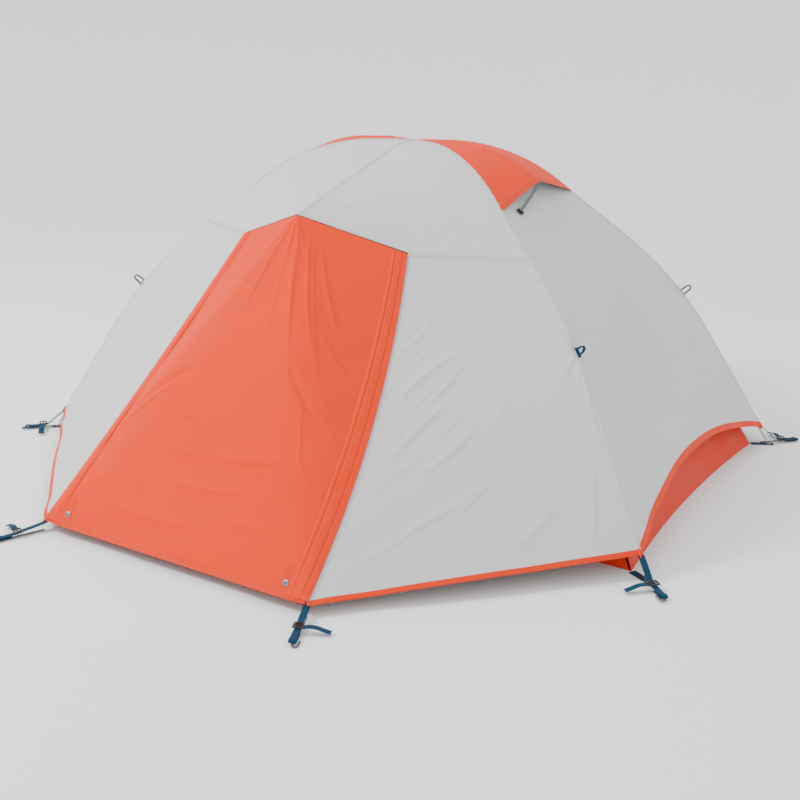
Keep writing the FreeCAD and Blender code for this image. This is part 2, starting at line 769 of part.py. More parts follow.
def gear_loop():
    """Hanging loop under the crown, for a lamp."""
    ring_r, wire_r = 13.0, 1.5
    top = TOP_Z - INNER_OFFSET
    ring = Part.makeTorus(ring_r, wire_r, Vector(0, 0, top - ring_r - wire_r), Vector(0, 1, 0))
    return [closed(ring)]


def wall_pockets():
    """Mesh pockets low on the inner end walls."""
    pockets = []
    for _, sx in SIDES:
        wall = inner_end(sx)
        for low in POCKET_U:
            pockets.append(panel(wall, (low, low + POCKET_WIDTH), POCKET_V, -NET_DEPTH,
                                 -NET_DEPTH - BINDING, (3, 5)))
    return pockets


def corner_tabs():
    """Webbing tabs from the floor's corners out to the pole feet, each with a hole."""
    tabs = []
    foot = foot_place()
    for sx, sy in quarter_signs():
        along, across = diagonal_axes(sx, sy)
        start = along * (FLOOR_R + 2.0) - across * (TAB_WIDTH / 2)
        tab = block(start, along, across, UP, (foot + 2 * GROMMET_R - FLOOR_R, TAB_WIDTH, TAB_THICK))
        hole = Part.makeCylinder(TAB_HOLE_R, 10.0, along * foot - UP * 2.0)
        tabs.append(closed(tab.cut(hole).Solids[0]))
    return tabs


def corner_grommets():
    """Metal rings on the tabs, which take the pole tips."""
    rings = []
    foot = foot_place()
    for sx, sy in quarter_signs():
        along, _ = diagonal_axes(sx, sy)
        base = along * foot + UP * (TAB_THICK + 0.2)
        ring = Part.makeCylinder(GROMMET_R, 2.2, base)
        ring = ring.cut(Part.makeCylinder(GROMMET_BORE_R, 10.0, base - UP))
        rings.append(closed(ring.Solids[0]))
    return rings


def foot_place():
    """Distance from the centre at which the pole tips cross the grommets."""
    grommet_mid_z = 3.0
    return leg_route(POLE_OFFSET, POLE_OFFSET, grommet_mid_z)[-1][0]


def quarter_signs():
    return [(sx, sy) for _, sx in SIDES for _, sy in FACES]


def diagonal_axes(sx, sy):
    along = Vector(sx * CORNER_X, sy * CORNER_Y, 0)
    along.normalize()
    return along, UP.cross(along)


# ---------------------------------------------------------------- fly
def fly_roof(sy):
    """Upper panel, one half each side of the ridge seam."""
    halves = []
    for _, sx in SIDES:
        patch = roof_patch(sx, sy)
        gap_u = SEAM_GAP / 330.0
        gap_v = SEAM_GAP / 650.0
        halves.append(panel(patch, (4 * gap_u, 1 - gap_u), (2 * gap_v, 1 - gap_v), grid=(15, 13)))
    return halves


def fly_side(sx, sy):
    gap_u, gap_v = SEAM_GAP / 400.0, SEAM_GAP / 1000.0
    return [panel(side_patch(sx, sy), (gap_u, 1 - gap_u), (gap_v, 1.0), grid=(11, 17))]


def fly_end(sx):
    gap = SEAM_GAP / 500.0
    return [panel(end_patch(sx), (gap, 1 - gap), (0.0, 1.0), grid=(13, 17))]


def fly_door(sy):
    """Door in two halves, sewn along its middle crease."""
    halves = []
    gap_v = DOOR_GAP / 1190.0
    for _, sx in SIDES:
        halves.append(panel(door_patch(sx, sy), (0.006, 1 - DOOR_GAP / 400.0), (gap_v, 1.0), grid=(17, 17)))
    return halves


def vent_hood(sx):
    gap = SEAM_GAP / 300.0
    return [panel(hood_patch(sx), (gap, 1 - gap), (0.08, 1.0), HOOD_LAP, HOOD_LAP - FABRIC, (17, 11))]


def vent_mesh(sx):
    return panel(vent_patch(sx), (0.03, 0.97), (0.0, 1.0), -NET_DEPTH, -NET_DEPTH - BINDING, (7, 4))


def strut_frame(sx):
    """Foot, direction and panel normal of a vent strut, which leans in under the hood."""
    foot_x, foot_y = STRUT_FOOT
    q = foot_x / CORNER_X
    foot = end_surface(sx, q, foot_y / (CORNER_Y * q))
    slope = end_surface(sx, q + 0.01, 0.0) - end_surface(sx, q - 0.01, 0.0)
    slope.normalize()
    normal = Vector(0, 1, 0).cross(slope)
    if normal.z < 0:
        normal = normal * -1.0
    return foot, slope, normal


def strut_axes(sx):
    foot, slope, normal = strut_frame(sx)
    flat = Vector(0, 1, 0) * cos_deg(STRUT_BACK) - slope * math.sin(math.radians(STRUT_BACK))
    hinge = flat.cross(normal)
    rise = math.radians(STRUT_RISE)
    along = flat * math.cos(rise) + normal * math.sin(rise)
    return foot + normal * STRUT_PIVOT, hinge, along


def vent_strut(sx):
    """Stiff strip that props the hood's free edge, with a round eye at its foot."""
    pivot, hinge, along = strut_axes(sx)
    up = hinge.cross(along)
    if up.z < 0:
        up = up * -1.0
    width = STRUT_WIDTH
    strip = block(pivot + along * 3.0 - hinge * (width / 2) - up * (STRUT_THICK / 2), along, hinge, up,
                  (STRUT_LENGTH - 3.0, width, STRUT_THICK))
    eye = Part.makeCylinder(STRUT_EYE_R, width, pivot - hinge * (width / 2), hinge)
    hole = Part.makeCylinder(STRUT_PIN_R + 0.1, 4 * width, pivot - hinge * (2 * width), hinge)
    strut = eye.fuse(strip).cut(hole)
    return [closed(strut.Solids[0])]


def strut_mount(sx):
    """Foot patch on the end panel with two ears and the strut's pin."""
    pivot, hinge, along = strut_axes(sx)
    _, slope, normal = strut_frame(sx)
    half = 9.0
    base = pivot - normal * (STRUT_PIVOT - 0.4)
    flat = Vector(0, 1, 0)
    patch = block(base - flat * 12.0 - slope * 12.0, flat, slope, normal, (24.0, 24.0, 1.0))
    ears = []
    for start in (-half, half - 2.5):
        ear = Part.makeCylinder(3.0, 2.5, pivot + hinge * start, hinge)
        web = block(pivot - normal * 4.6 + hinge * start - hinge.cross(normal) * 3.0, hinge,
                    hinge.cross(normal), normal, (2.5, 6.0, 4.6))
        ears += [ear, web]
    pin = Part.makeCylinder(STRUT_PIN_R, 2 * half, pivot - hinge * half, hinge)
    return closed(patch.fuse(ears + [pin]).removeSplitter().Solids[0])


def hem_strip(surface, width, us=(0.0, 1.0)):
    """Binding over the last stretch of a panel, on its outer face."""
    run = surface(0.5, 1.0).distanceToPoint(surface(0.5, 0.0))
    return panel(surface, us, (1.0 - width / run, 1.0), HEM_FACE, HEM_FACE - BINDING, (13, 3))


def fly_hem_binding():
    strips = []
    for sx, sy in quarter_signs():
        strips.append(hem_strip(side_patch(sx, sy), HEM_WIDTH, (0.004, 0.996)))
    for _, sx in SIDES:
        strips.append(hem_strip(end_patch(sx), HEM_WIDTH, (0.004, 0.996)))
    return strips


def door_binding(sy):
    return [hem_strip(door_patch(sx, sy), DOOR_HEM_WIDTH, (0.004, 0.93)) for _, sx in SIDES]


def storm_flaps(sy):
    """Bands sewn to the door over its zips."""
    return [panel(door_patch(sx, sy), FLAP_U, FLAP_V, FLAP_FACE, FLAP_FACE - FLAP_THICK, (7, 17))
            for _, sx in SIDES]


def zip_tapes(sy):
    """Zip tapes inside the fly, along the side panels' door edges."""
    tapes = []
    for _, sx in SIDES:
        tapes.append(panel(side_patch(sx, sy), (0.004, 0.022), (0.02, 0.98), -FABRIC - 1.4,
                           -FABRIC - 2.9, (3, 17)))
    return tapes


def fly_slider(sx, sy):
    """Slider under the door's edge, with its pull hanging inside."""
    edge = door_edge(sx, sy)
    here = edge(SLIDER_AT)
    axis, _, _ = slider_hinge(sx, sy)
    down = edge(SLIDER_AT + 0.01) - edge(SLIDER_AT - 0.01)
    down.normalize()
    inward = outward(side_patch(sx, sy), 0.01, SLIDER_AT) * -1.0
    across = down.cross(inward)
    across.normalize()
    inward = across.cross(down)
    if inward.z > 0:
        inward = inward * -1.0
    base = here + inward * 8.0
    body = block(base - down * 8.0 - across * 5.0, down, across, inward, (16.0, 10.0, 6.0))
    pull = block(base - down * 30.0 - across * 2.5 + inward * 6.0, down, across, inward,
                 (32.0, 5.0, 1.6))
    return [closed(body.fuse(pull).removeSplitter().Solids[0])]


def slider_hinge(sx, sy):
    """Axis, centre and travel in degrees of a slider, on the circle of the door's bowed edge."""
    edge = door_edge(sx, sy)
    a, m, b = edge(SLIDER_AT), edge((SLIDER_AT + SLIDER_TOP) / 2.0), edge(SLIDER_TOP)
    centre = Part.Arc(a, m, b).toShape().Curve.Center
    axis = (a - centre).cross(b - centre)
    axis.normalize()
    travel = math.degrees((a - centre).getAngle(b - centre))
    return axis, centre, travel


def tie_out_tabs():
    """Webbing loops on the pole seams, for guy lines."""
    tabs = []
    length, width, thick = 34.0, 20.0, 3.0
    for sx, sy in quarter_signs():
        here = pole_point(sx, sy, TIE_OUT_AT)
        down = pole_point(sx, sy, TIE_OUT_AT + 0.01) - pole_point(sx, sy, TIE_OUT_AT - 0.01)
        down.normalize()
        _, across = diagonal_axes(sx, sy)
        out = across.cross(down)
        if out.z < 0:
            out = out * -1.0
        corner = here + out * 4.0 - down * (width / 2) - across * (thick / 2)
        tab = block(corner, down, across, out, (width, thick, length))
        tabs.append(closed(tab.cut(block(corner + down * 5.0 - across * 2.0 + out * 10.0, down, across,
                                         out, (width - 10.0, thick + 4.0, length - 16.0))).Solids[0]))
    return tabs


def door_snaps(sy):
    """Press studs at the door's lower corners."""
    snaps = []
    for _, sx in SIDES:
        surface = door_patch(sx, sy)
        normal = outward(surface, *SNAP_AT)
        base = surface(*SNAP_AT) + normal * 0.8
        disc = Part.makeCylinder(SNAP_R, 1.6, base, normal)
        dome = Part.makeCylinder(SNAP_DOME_R, 2.6, base, normal)
        snaps.append(closed(disc.fuse(dome).removeSplitter().Solids[0]))
    return snaps


# ---------------------------------------------------------------- staking out
def stake_corners():
    """Name, hem corner, outward and sideways directions and stake height of each staked corner."""
    corners = []
    for side, sx in SIDES:
        for face, sy in FACES:
            kinds = (("body_", pole_point(sx, sy, 1.0), BODY_STAKE_TURN, BODY_STAKE_LEVEL, sx * sy),
                     ("porch_", corner_points(sx, sy)["vest"], VEST_STAKE_TURN, VEST_STAKE_LEVEL,
                      -sx * sy))
            for kind, corner, turn, level, hand in kinds:
                angle = math.radians(turn)
                out = Vector(sx * math.cos(angle), sy * math.sin(angle), 0)
                corners.append((kind + face + "_" + side, corner, out, UP.cross(out) * hand, level))
    return corners


def band(points, thick, width, origin, along, across):
    """Webbing strip: a folded line (u, z) thickened upward, then given its width."""
    upper = [(u, z + thick) for u, z in points]
    outline = points + list(reversed(upper)) + [points[0]]
    wire = Part.makePolygon([origin + along * u + UP * z - across * (width / 2) for u, z in outline])
    return closed(Part.Face(wire).extrude(across * width))


def strap_line(hem_z):
    """Strap's lower line (u, z) from under the hem to its loop on the ground."""
    return [(4.0, hem_z - 9.0)] + list(STRAP_RUN)


def corner_straps():
    straps = []
    for _, corner, out, across, _ in stake_corners():
        ground = Vector(corner.x, corner.y, 0)
        straps.append(band(strap_line(corner.z), STRAP_THICK, STRAP_WIDTH, ground, out, across))
        straps.append(band(list(STRAP_TAIL), STRAP_THICK, STRAP_WIDTH, ground + out * STRAP_TAIL_AT,
                           across, out))
    return straps


def strap_adjusters():
    """Three-bar buckles on the straps."""
    buckles = []
    length, width, thick = 26.0, 28.0, 3.5
    for _, corner, out, across, _ in stake_corners():
        base = Vector(corner.x, corner.y, 19.5) + out * 70.0 - across * (width / 2)
        plate = block(base, out, across, UP, (length, width, thick))
        for start in (4.0, 14.5):
            window = block(base + out * start + across * 3.5 - UP, out, across, UP,
                           (7.5, width - 7.0, thick + 2.0))
            plate = plate.cut(window)
        buckles.append(closed(plate.Solids[0]))
    return buckles


def stake(corner, out, across, level):
    """Wire stake with a hooked head, lying along its strap with the head outward."""

    def place(u, w):
        return Vector(corner.x, corner.y, 0) + out * u + across * w + UP * level

    head = STAKE_REACH
    route = [("line", (head - STAKE_LENGTH, 0.0), (head, 0.0)),
             ("arc", (head, 0.0), (head + STAKE_HOOK_R, STAKE_HOOK_R), (head, 2 * STAKE_HOOK_R)),
             ("line", (head, 2 * STAKE_HOOK_R), (head - 22.0, 2 * STAKE_HOOK_R))]
    return [tube(route, place, STAKE_R)]


# ---------------------------------------------------------------- assembly
def build_nodes():
    nodes = pole_nodes()
    nodes["pole_hub"] = pole_hub()
    nodes["pole_clips"] = pole_clips()
    nodes["tub_floor"] = tub_floor()
    nodes["inner_crown"] = inner_crown()
    nodes["gear_loop"] = gear_loop()
    nodes["wall_pockets"] = wall_pockets()
    nodes["corner_tabs"] = corner_tabs()
    nodes["corner_grommets"] = corner_grommets()
    nodes["fly_hem_binding"] = fly_hem_binding()
    nodes["tie_out_tabs"] = tie_out_tabs()
    nodes["corner_straps"] = corner_straps()
    nodes["strap_adjusters"] = strap_adjusters()
    nodes["vent_meshes"] = [vent_mesh(sx) for _, sx in SIDES]
    nodes["strut_mounts"] = [strut_mount(sx) for _, sx in SIDES]
    nodes["fly_zip_tapes"] = zip_tapes(-1) + zip_tapes(1)
    nodes["inner_zip_tapes"] = inner_zip(-1) + inner_zip(1)
    nodes["inner_zip_sliders"] = [inner_zip_slider(sy) for _, sy in FACES]
    nodes["inner_end_walls"] = [inner_end_wall(sx) for _, sx in SIDES]
    for side, sx in SIDES:
        nodes["fly_end_" + side] = fly_end(sx)
        nodes["vent_hood_" + side] = vent_hood(sx)
        nodes["vent_strut_" + side] = vent_strut(sx)
    for face, sy in FACES:
        nodes["inner_side_wall_" + face] = inner_side_wall(sy)
        nodes["inner_door_" + face] = inner_door(sy)
        nodes["fly_roof_" + face] = fly_roof(sy)
        nodes["fly_door_" + face] = fly_door(sy)
        nodes["door_binding_" + face] = door_binding(sy)
        nodes["storm_flaps_" + face] = storm_flaps(sy)
        nodes["door_snaps_" + face] = door_snaps(sy)
        for side, sx in SIDES:
            nodes["fly_side_" + face + "_" + side] = fly_side(sx, sy)
            nodes["fly_slider_" + face + "_" + side] = fly_slider(sx, sy)
    for name, corner, out, across, level in stake_corners():
        nodes["stake_" + name] = stake(corner, out, across, level)
    return nodes


def main():
    os.makedirs("parts", exist_ok=True)
    nodes = build_nodes()
    for name, solids in nodes.items():
        shape = solids[0] if len(solids) == 1 else Part.makeCompound(solids)
        shape.exportStep("parts/" + name + ".step")
    print(len(nodes), "nodes", sum(len(s) for s in nodes.values()), "solids")
    for sx, sy in quarter_signs():
        axis, centre, travel = slider_hinge(sx, sy)
        print("slider", sx, sy, [round(v, 5) for v in axis], [round(v, 2) for v in centre],
              round(travel, 3))
    for _, sy in FACES:
        point, direction = inner_door_hinge(sy)
        print("inner door", sy, [round(v, 3) for v in point], [round(v, 5) for v in direction])
    for _, corner, out, _, _ in stake_corners():
        print("stake", [round(v, 3) for v in corner], [round(v, 5) for v in out])
    for _, sx in SIDES:
        pivot, hinge, _ = strut_axes(sx)
        print("strut", sx, [round(v, 3) for v in pivot], [round(v, 5) for v in hinge])


main()
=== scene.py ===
# Two-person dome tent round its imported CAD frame. Metres, +Z up, the CAD's own frame.
import math

import bmesh
import bpy
import numpy as np
from mathutils import Matrix, Vector


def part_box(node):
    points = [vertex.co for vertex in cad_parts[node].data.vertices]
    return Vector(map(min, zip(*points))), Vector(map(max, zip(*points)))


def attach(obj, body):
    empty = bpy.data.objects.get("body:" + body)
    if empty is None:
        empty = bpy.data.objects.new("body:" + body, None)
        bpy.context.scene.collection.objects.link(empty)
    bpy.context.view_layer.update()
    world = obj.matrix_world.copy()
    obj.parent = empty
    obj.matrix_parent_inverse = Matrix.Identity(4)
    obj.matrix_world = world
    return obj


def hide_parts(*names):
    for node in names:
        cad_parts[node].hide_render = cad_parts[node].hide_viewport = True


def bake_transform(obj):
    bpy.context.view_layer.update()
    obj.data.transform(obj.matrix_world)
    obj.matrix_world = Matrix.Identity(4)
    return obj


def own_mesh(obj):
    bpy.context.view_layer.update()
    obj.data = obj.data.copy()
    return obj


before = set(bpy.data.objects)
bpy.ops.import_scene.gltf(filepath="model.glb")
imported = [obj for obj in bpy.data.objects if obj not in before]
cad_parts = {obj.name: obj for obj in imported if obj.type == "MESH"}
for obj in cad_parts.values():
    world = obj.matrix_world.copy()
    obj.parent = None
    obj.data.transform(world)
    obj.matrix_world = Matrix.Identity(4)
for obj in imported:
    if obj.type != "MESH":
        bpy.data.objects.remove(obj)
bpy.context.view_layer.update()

# ---------------------------------------------------------------- dimensions shared with the CAD
CORNER_X, CORNER_Y, CORNER_Z = 1.150, 0.633, 0.070
TOP_Z = 1.0935
SHOULDER_R = 0.340
UPPER_SLOPE, LOWER_SLOPE = math.radians(37.0), math.radians(57.5)
SHOULDER_BEND, KNEE_BEND = 0.650, 1.380
RIDGE_Y, RIDGE_Z, RIDGE_SLOPE, RIDGE_BEND = 0.670, 0.924, math.radians(15.6), 0.460
DOOR_TOP = (0.314, 0.534, 0.817)
VEST = (0.493, 1.323, 0.033)
SEAM_AT = 0.554
CREASE_SOFT = (0.08, 0.20)
EDGE_BOW = (0.025, 0.028, 0.023)
END_ARCH = 0.0515
PANEL_SAG = 0.014
INNER_OFFSET = 0.066
TUB_HEIGHT, TUB_BOW_X, TUB_BOW_Y = 0.140, 0.033, 0.018
DOOR_Q, DOOR_T, CROWN_Q = (0.30, 0.845), 0.40, 0.035
HOOD_Q, HOOD_LIFT, VENT_Q, END_TOP_Q = 0.43, (-0.005, 0.068), (0.20, 0.345), 0.36
TIE_OUT_AT = 0.745
BODY_STAKE_TURN, VEST_STAKE_TURN = math.radians(43.0), math.radians(68.0)
STRAP_WIDTH, STRAP_THICK = 0.020, 0.0016
GROMMET_R, TAB_WIDTH, TAB_THICK, TAB_HOLE_R = 0.010, 0.025, 0.0016, 0.0062
ZIP_DEPTH = 0.0035

CORNER_R = math.hypot(CORNER_X, CORNER_Y)
INSIDE = np.array((0.0, 0.0, 0.2))
SIDES = (("left", -1), ("right", 1))
FACES = (("front", -1), ("rear", 1))
QUARTERS = [(sx, sy) for _, sx in SIDES for _, sy in FACES]

# ---------------------------------------------------------------- dimensions of the looks
CLOTH = 0.0010           # thickness of a sheet as it is drawn
SEAM_WIDTH = 0.011
HOOD_FACE = 0.003        # the hood's outer face over the fly's
STUD_PROFILE = ((0.0048, 0.0), (0.0090, 0.0), (0.0094, 0.0010), (0.0082, 0.0026), (0.0060, 0.0030),
                (0.0050, 0.0022), (0.0048, 0.0))
HOOD_LOOKS = ("orange_cloth", "lining_cloth", "tape", "orange_seam")
STRAP_TAIL_AT = 0.084    # from the hem's corner out to the strap's loose tail
STRAP_LOOP = ((0.128, 0.0125), (0.142, 0.0150), (0.150, 0.0105), (0.142, 0.0060), (0.100, 0.0062))
STRAP_TAIL = ((0.014, 0.0175), (0.030, 0.0205), (0.048, 0.0195), (0.066, 0.0140), (0.086, 0.0085))
TIE_LOOP = ((0.0035, 0.0095), (0.012, 0.0090), (0.026, 0.0085), (0.0355, 0.0040), (0.0365, 0.0),
            (0.0355, -0.0040), (0.026, -0.0085), (0.012, -0.0090), (0.0035, -0.0095))
TIE_FOOT, TIE_FOOT_UP = (-0.016, 0.0, 0.016), 0.0036
COIL_BEADS, COIL_WIDE, COIL_NARROW = 420, 0.0015, 0.0007
COIL_PROFILE = ((-0.002, 0.0001), (-0.0012, 0.0012), (0.0, 0.0016), (0.0012, 0.0012), (0.002, 0.0001))
STUD_U, STUD_V, STUD_UP = 0.83, 0.965, 0.0012
INNER_NET_FROM = 0.46    # share down the inner end walls where cloth gives way to netting
POCKETS_AT, POCKET_WIDE = (0.22, 0.58), 0.20
APEX_PROFILE = ((0.0, 0.0022), (0.012, 0.0021), (0.024, 0.0012), (0.027, 0.0), (0.025, -0.001),
                (0.0, -0.001))
STUD_MIDDLE = ((0.0051, 0.0004), (0.0051, 0.0016), (0.0034, 0.0030), (0.0015, 0.0036), (0.0, 0.0037))
CLOTH_UV = "Cloth"       # metres along a sheet, across and down
TAPE = 0.0009            # thickness of tapes, bindings and seam strips

# Places on a panel as shares of it: _U across, _V down.
HOOD_REACH_U, HOOD_REACH_V = (0.003, 0.997), (0.012, 1.0)
HOOD_TAPE_V, HOOD_TAPE_GAP = (0.955, 0.996), 0.0002
HOOD_EDGE_U, HOOD_EDGE_V, HOOD_EDGE_UP = (0.03, 0.97), (0.972, 1.004), 0.0011
DOOR_REACH_U = 0.985
DOOR_HEM_U, DOOR_HEM_V, DOOR_HEM_UP = 0.93, (0.987, 1.002), 0.0015
PATCH_U, PATCH_V, PATCH_UP, PATCH_THICK = (0.80, 0.985), (0.925, 0.999), 0.0008, 0.0006
BAND_U, BAND_V, BAND_THICK = (0.868, 0.999), (0.006, 0.992), 0.0012
SIDE_SEAM_U, SIDE_SEAM_V, SIDE_SEAM_UP = (0.001, 0.013), (0.003, 0.997), 0.0010
TOP_SEAM_V, TOP_SEAM_U, TOP_SEAM_UP = (0.0, 0.011), (0.004, 0.996), 0.0011
RIDGE_SEAM_U, RIDGE_SEAM_V, ROOF_SEAM_UP = (-0.018, 0.018), (0.004, 0.999), 0.0012
SIDE_HEM, SIDE_HEM_U = 0.0120, (0.002, 1.006)
END_HEM, END_HEM_U = 0.0130, (-0.006, 1.006)
FLY_ZIP_U, FLY_ZIP_V, INNER_ZIP_U = (0.004, 0.022), (0.02, 0.98), 0.012
POCKET_V, POCKET_IN = (0.77, 0.865), -0.008
POCKET_TAPE_V, POCKET_TAPE_IN, POCKET_TAPE_THICK = (0.768, 0.776), -0.0075, 0.0022
VENT_NET_U, VENT_NET_IN = (0.03, 0.97), -0.008
TIE_WIDE, TIE_THICK, TIE_FOOT_WIDE, TIE_FOOT_THICK = 0.010, 0.0030, 0.012, 0.0012
STRAP_CUP, STRAP_TAIL_CUP = 0.0004, 0.0005


# ---------------------------------------------------------------- lines of the shape
def leg_route(top_drop, offset):
    """Corner points (r, z) of half a pole line, from the top to the ground."""
    upper, lower = math.tan(UPPER_SLOPE), math.tan(LOWER_SLOPE)
    upper_drop, lower_drop = offset / math.cos(UPPER_SLOPE), offset / math.cos(LOWER_SLOPE)
    shoulder = SHOULDER_R + (top_drop - upper_drop) / upper
    knee = CORNER_Z + CORNER_R * lower - lower_drop - TOP_Z - SHOULDER_R * upper + upper_drop
    knee /= lower - upper
    knee_z = TOP_Z - (knee - SHOULDER_R) * upper - upper_drop
    foot = CORNER_R + (CORNER_Z - lower_drop) / lower
    return [(0.0, TOP_Z - top_drop), (shoulder, TOP_Z - top_drop), (knee, knee_z), (foot, 0.0)]


def rounded(points, radii):
    """Runs and tangent arcs through the corner points: ("line", a, b) or ("arc", a, m, b)."""
    pieces, start = [], points[0]
    for before, corner, after, radius in zip(points, points[1:], points[2:], radii):
        back = np.subtract(before, corner) / math.dist(before, corner)
        on = np.subtract(after, corner) / math.dist(after, corner)
        half = math.acos(float(np.clip(back @ on, -1.0, 1.0))) / 2.0
        reach = radius / math.tan(half)
        middle = (back + on) / np.linalg.norm(back + on)
        a, b = corner + back * reach, corner + on * reach
        m = corner + middle * (radius / math.sin(half) - radius)
        pieces += [("line", start, a), ("arc", a, m, b)]
        start = b
    return pieces + [("line", start, points[-1])]


def circle_centre(a, m, b):
    """Centre of the circle through three points of the plane."""
    d = 2.0 * (a[0] * (m[1] - b[1]) + m[0] * (b[1] - a[1]) + b[0] * (a[1] - m[1]))
    sa, sm, sb = (p[0] ** 2 + p[1] ** 2 for p in (a, m, b))
    x = (sa * (m[1] - b[1]) + sm * (b[1] - a[1]) + sb * (a[1] - m[1])) / d
    z = (sa * (b[0] - m[0]) + sm * (a[0] - b[0]) + sb * (m[0] - a[0])) / d
    return x, z


def height(pieces, r):
    """Heights of a rounded line over the distances r."""
    z = None
    for piece in reversed(pieces):
        a, b = piece[1], piece[-1]
        if piece[0] == "line":
            here = a[1] + (b[1] - a[1]) * (r - a[0]) / (b[0] - a[0])
        else:
            centre = circle_centre(*piece[1:])
            here = centre[1] + np.sqrt(np.maximum(math.dist(a, centre) ** 2 - (r - centre[0]) ** 2, 0.0))
        z = here if z is None else np.where(r <= b[0], here, z)
    return z


PEAK = RIDGE_Z + RIDGE_Y * math.tan(RIDGE_SLOPE)
FLY_LINE = rounded(leg_route(0.0, 0.0), (SHOULDER_BEND, KNEE_BEND))
INNER_LINE = rounded(leg_route(INNER_OFFSET, INNER_OFFSET),
                     (SHOULDER_BEND - INNER_OFFSET, KNEE_BEND - INNER_OFFSET))
RIDGE_LINE = rounded([(-RIDGE_Y, RIDGE_Z), (0.0, PEAK), (RIDGE_Y, RIDGE_Z)], (RIDGE_BEND,))
FLOOR_R = INNER_LINE[-1][2][0]
FLOOR_X, FLOOR_Y = FLOOR_R * CORNER_X / CORNER_R, FLOOR_R * CORNER_Y / CORNER_R
TUB_TOP_V = 1.0 - (TUB_HEIGHT + 0.003) / math.tan(LOWER_SLOPE) / FLOOR_R


def vec(x, y, z):
    return np.stack(np.broadcast_arrays(x, y, z), axis=-1).astype(float)


def unit(v):
    """Vectors of length 1 in the directions of v."""
    return v / np.linalg.norm(v, axis=-1, keepdims=True)


def pole_point(sx, sy, q):
    q = np.asarray(q, float)
    return vec(sx * CORNER_X * q, sy * CORNER_Y * q, height(FLY_LINE, CORNER_R * q))


def ridge_point(sy, share):
    y = RIDGE_Y * np.asarray(share, float)
    return vec(0.0, sy * y, height(RIDGE_LINE, y))


def bowed(a, b, bow=(0.0, 0.0, 0.0)):
    """Line from a to b whose middle stands off by bow."""
    a, b, bow = (np.array(p, float) for p in (a, b, bow))

    def point(t):
        t = np.asarray(t, float)[..., None]
        return a + (b - a) * t + bow * (4.0 * t * (1.0 - t))
    return point


def corner_points(sx, sy):
    """Named points of one quarter of the fly."""
    return {
        "ridge_end": (0.0, sy * RIDGE_Y, RIDGE_Z),
        "door_top": (sx * DOOR_TOP[0], sy * DOOR_TOP[1], DOOR_TOP[2]),
        "vest": (sx * VEST[0], sy * VEST[1], VEST[2]),
        "body": pole_point(sx, sy, 1.0),
        "seam": pole_point(sx, sy, SEAM_AT),
    }


def door_edge(sx, sy):
    p = corner_points(sx, sy)
    return bowed(p["door_top"], p["vest"], (sx * EDGE_BOW[0], -sy * EDGE_BOW[1], -EDGE_BOW[2]))


# ---------------------------------------------------------------- surfaces
def coons(left, right, first, last):
    """Surface between four curves: left and right run along v, first and last along u."""
    c00, c10, c01, c11 = left(0.0), right(0.0), left(1.0), right(1.0)

    def point(u, v):
        a, b = np.asarray(u, float)[..., None], np.asarray(v, float)[..., None]
        across = left(v) * (1 - a) + right(v) * a
        down = first(u) * (1 - b) + last(u) * b
        return across + down - (c00 * (1 - a) * (1 - b) + c10 * a * (1 - b)
                                + c01 * (1 - a) * b + c11 * a * b)
    return point


def outward(surface, u, v):
    """Unit normals of a surface, pointing away from the inside of the tent."""
    step = 1e-3
    normal = unit(np.cross(surface(u + step, v) - surface(u - step, v),
                           surface(u, v + step) - surface(u, v - step)))
    facing = np.sum(normal * (surface(u, v) - INSIDE), axis=-1, keepdims=True)
    return np.where(facing < 0, -normal, normal)


def sagged(surface, depth):
    """A surface whose middle is drawn inward by depth."""
    def point(u, v):
        pull = depth * 16.0 * u * (1 - u) * v * (1 - v)
        return surface(u, v) - outward(surface, u, v) * np.asarray(pull)[..., None]
    return point


def mirrored(quarter):
    """A surface over u from -1 to 1, made of a quarter's surface and its mirror image in x."""
    def point(u, v):
        u = np.asarray(u, float)
        made = quarter(np.abs(u), v)
        return made * vec(np.where(u < 0, -1.0, 1.0), 1.0, 1.0)
    return point


def roof_patch(sy):
    """Upper panel: u from one pole seam to the other, v from the apex out along the ridge."""
    p = corner_points(1, sy)
    return mirrored(coons(lambda v: ridge_point(sy, v), bowed(p["seam"], p["door_top"]),
                          lambda u: pole_point(1, sy, SEAM_AT * np.asarray(u)),
                          bowed(p["ridge_end"], p["door_top"])))


def side_patch(sx, sy):
    """Side panel: u from the door's edge to the pole line, v from the seam down to the hem."""
    p = corner_points(sx, sy)
    return sagged(coons(door_edge(sx, sy),
                        lambda v: pole_point(sx, sy, SEAM_AT + (1 - SEAM_AT) * np.asarray(v)),
                        bowed(p["door_top"], p["seam"]), bowed(p["vest"], p["body"])), PANEL_SAG)


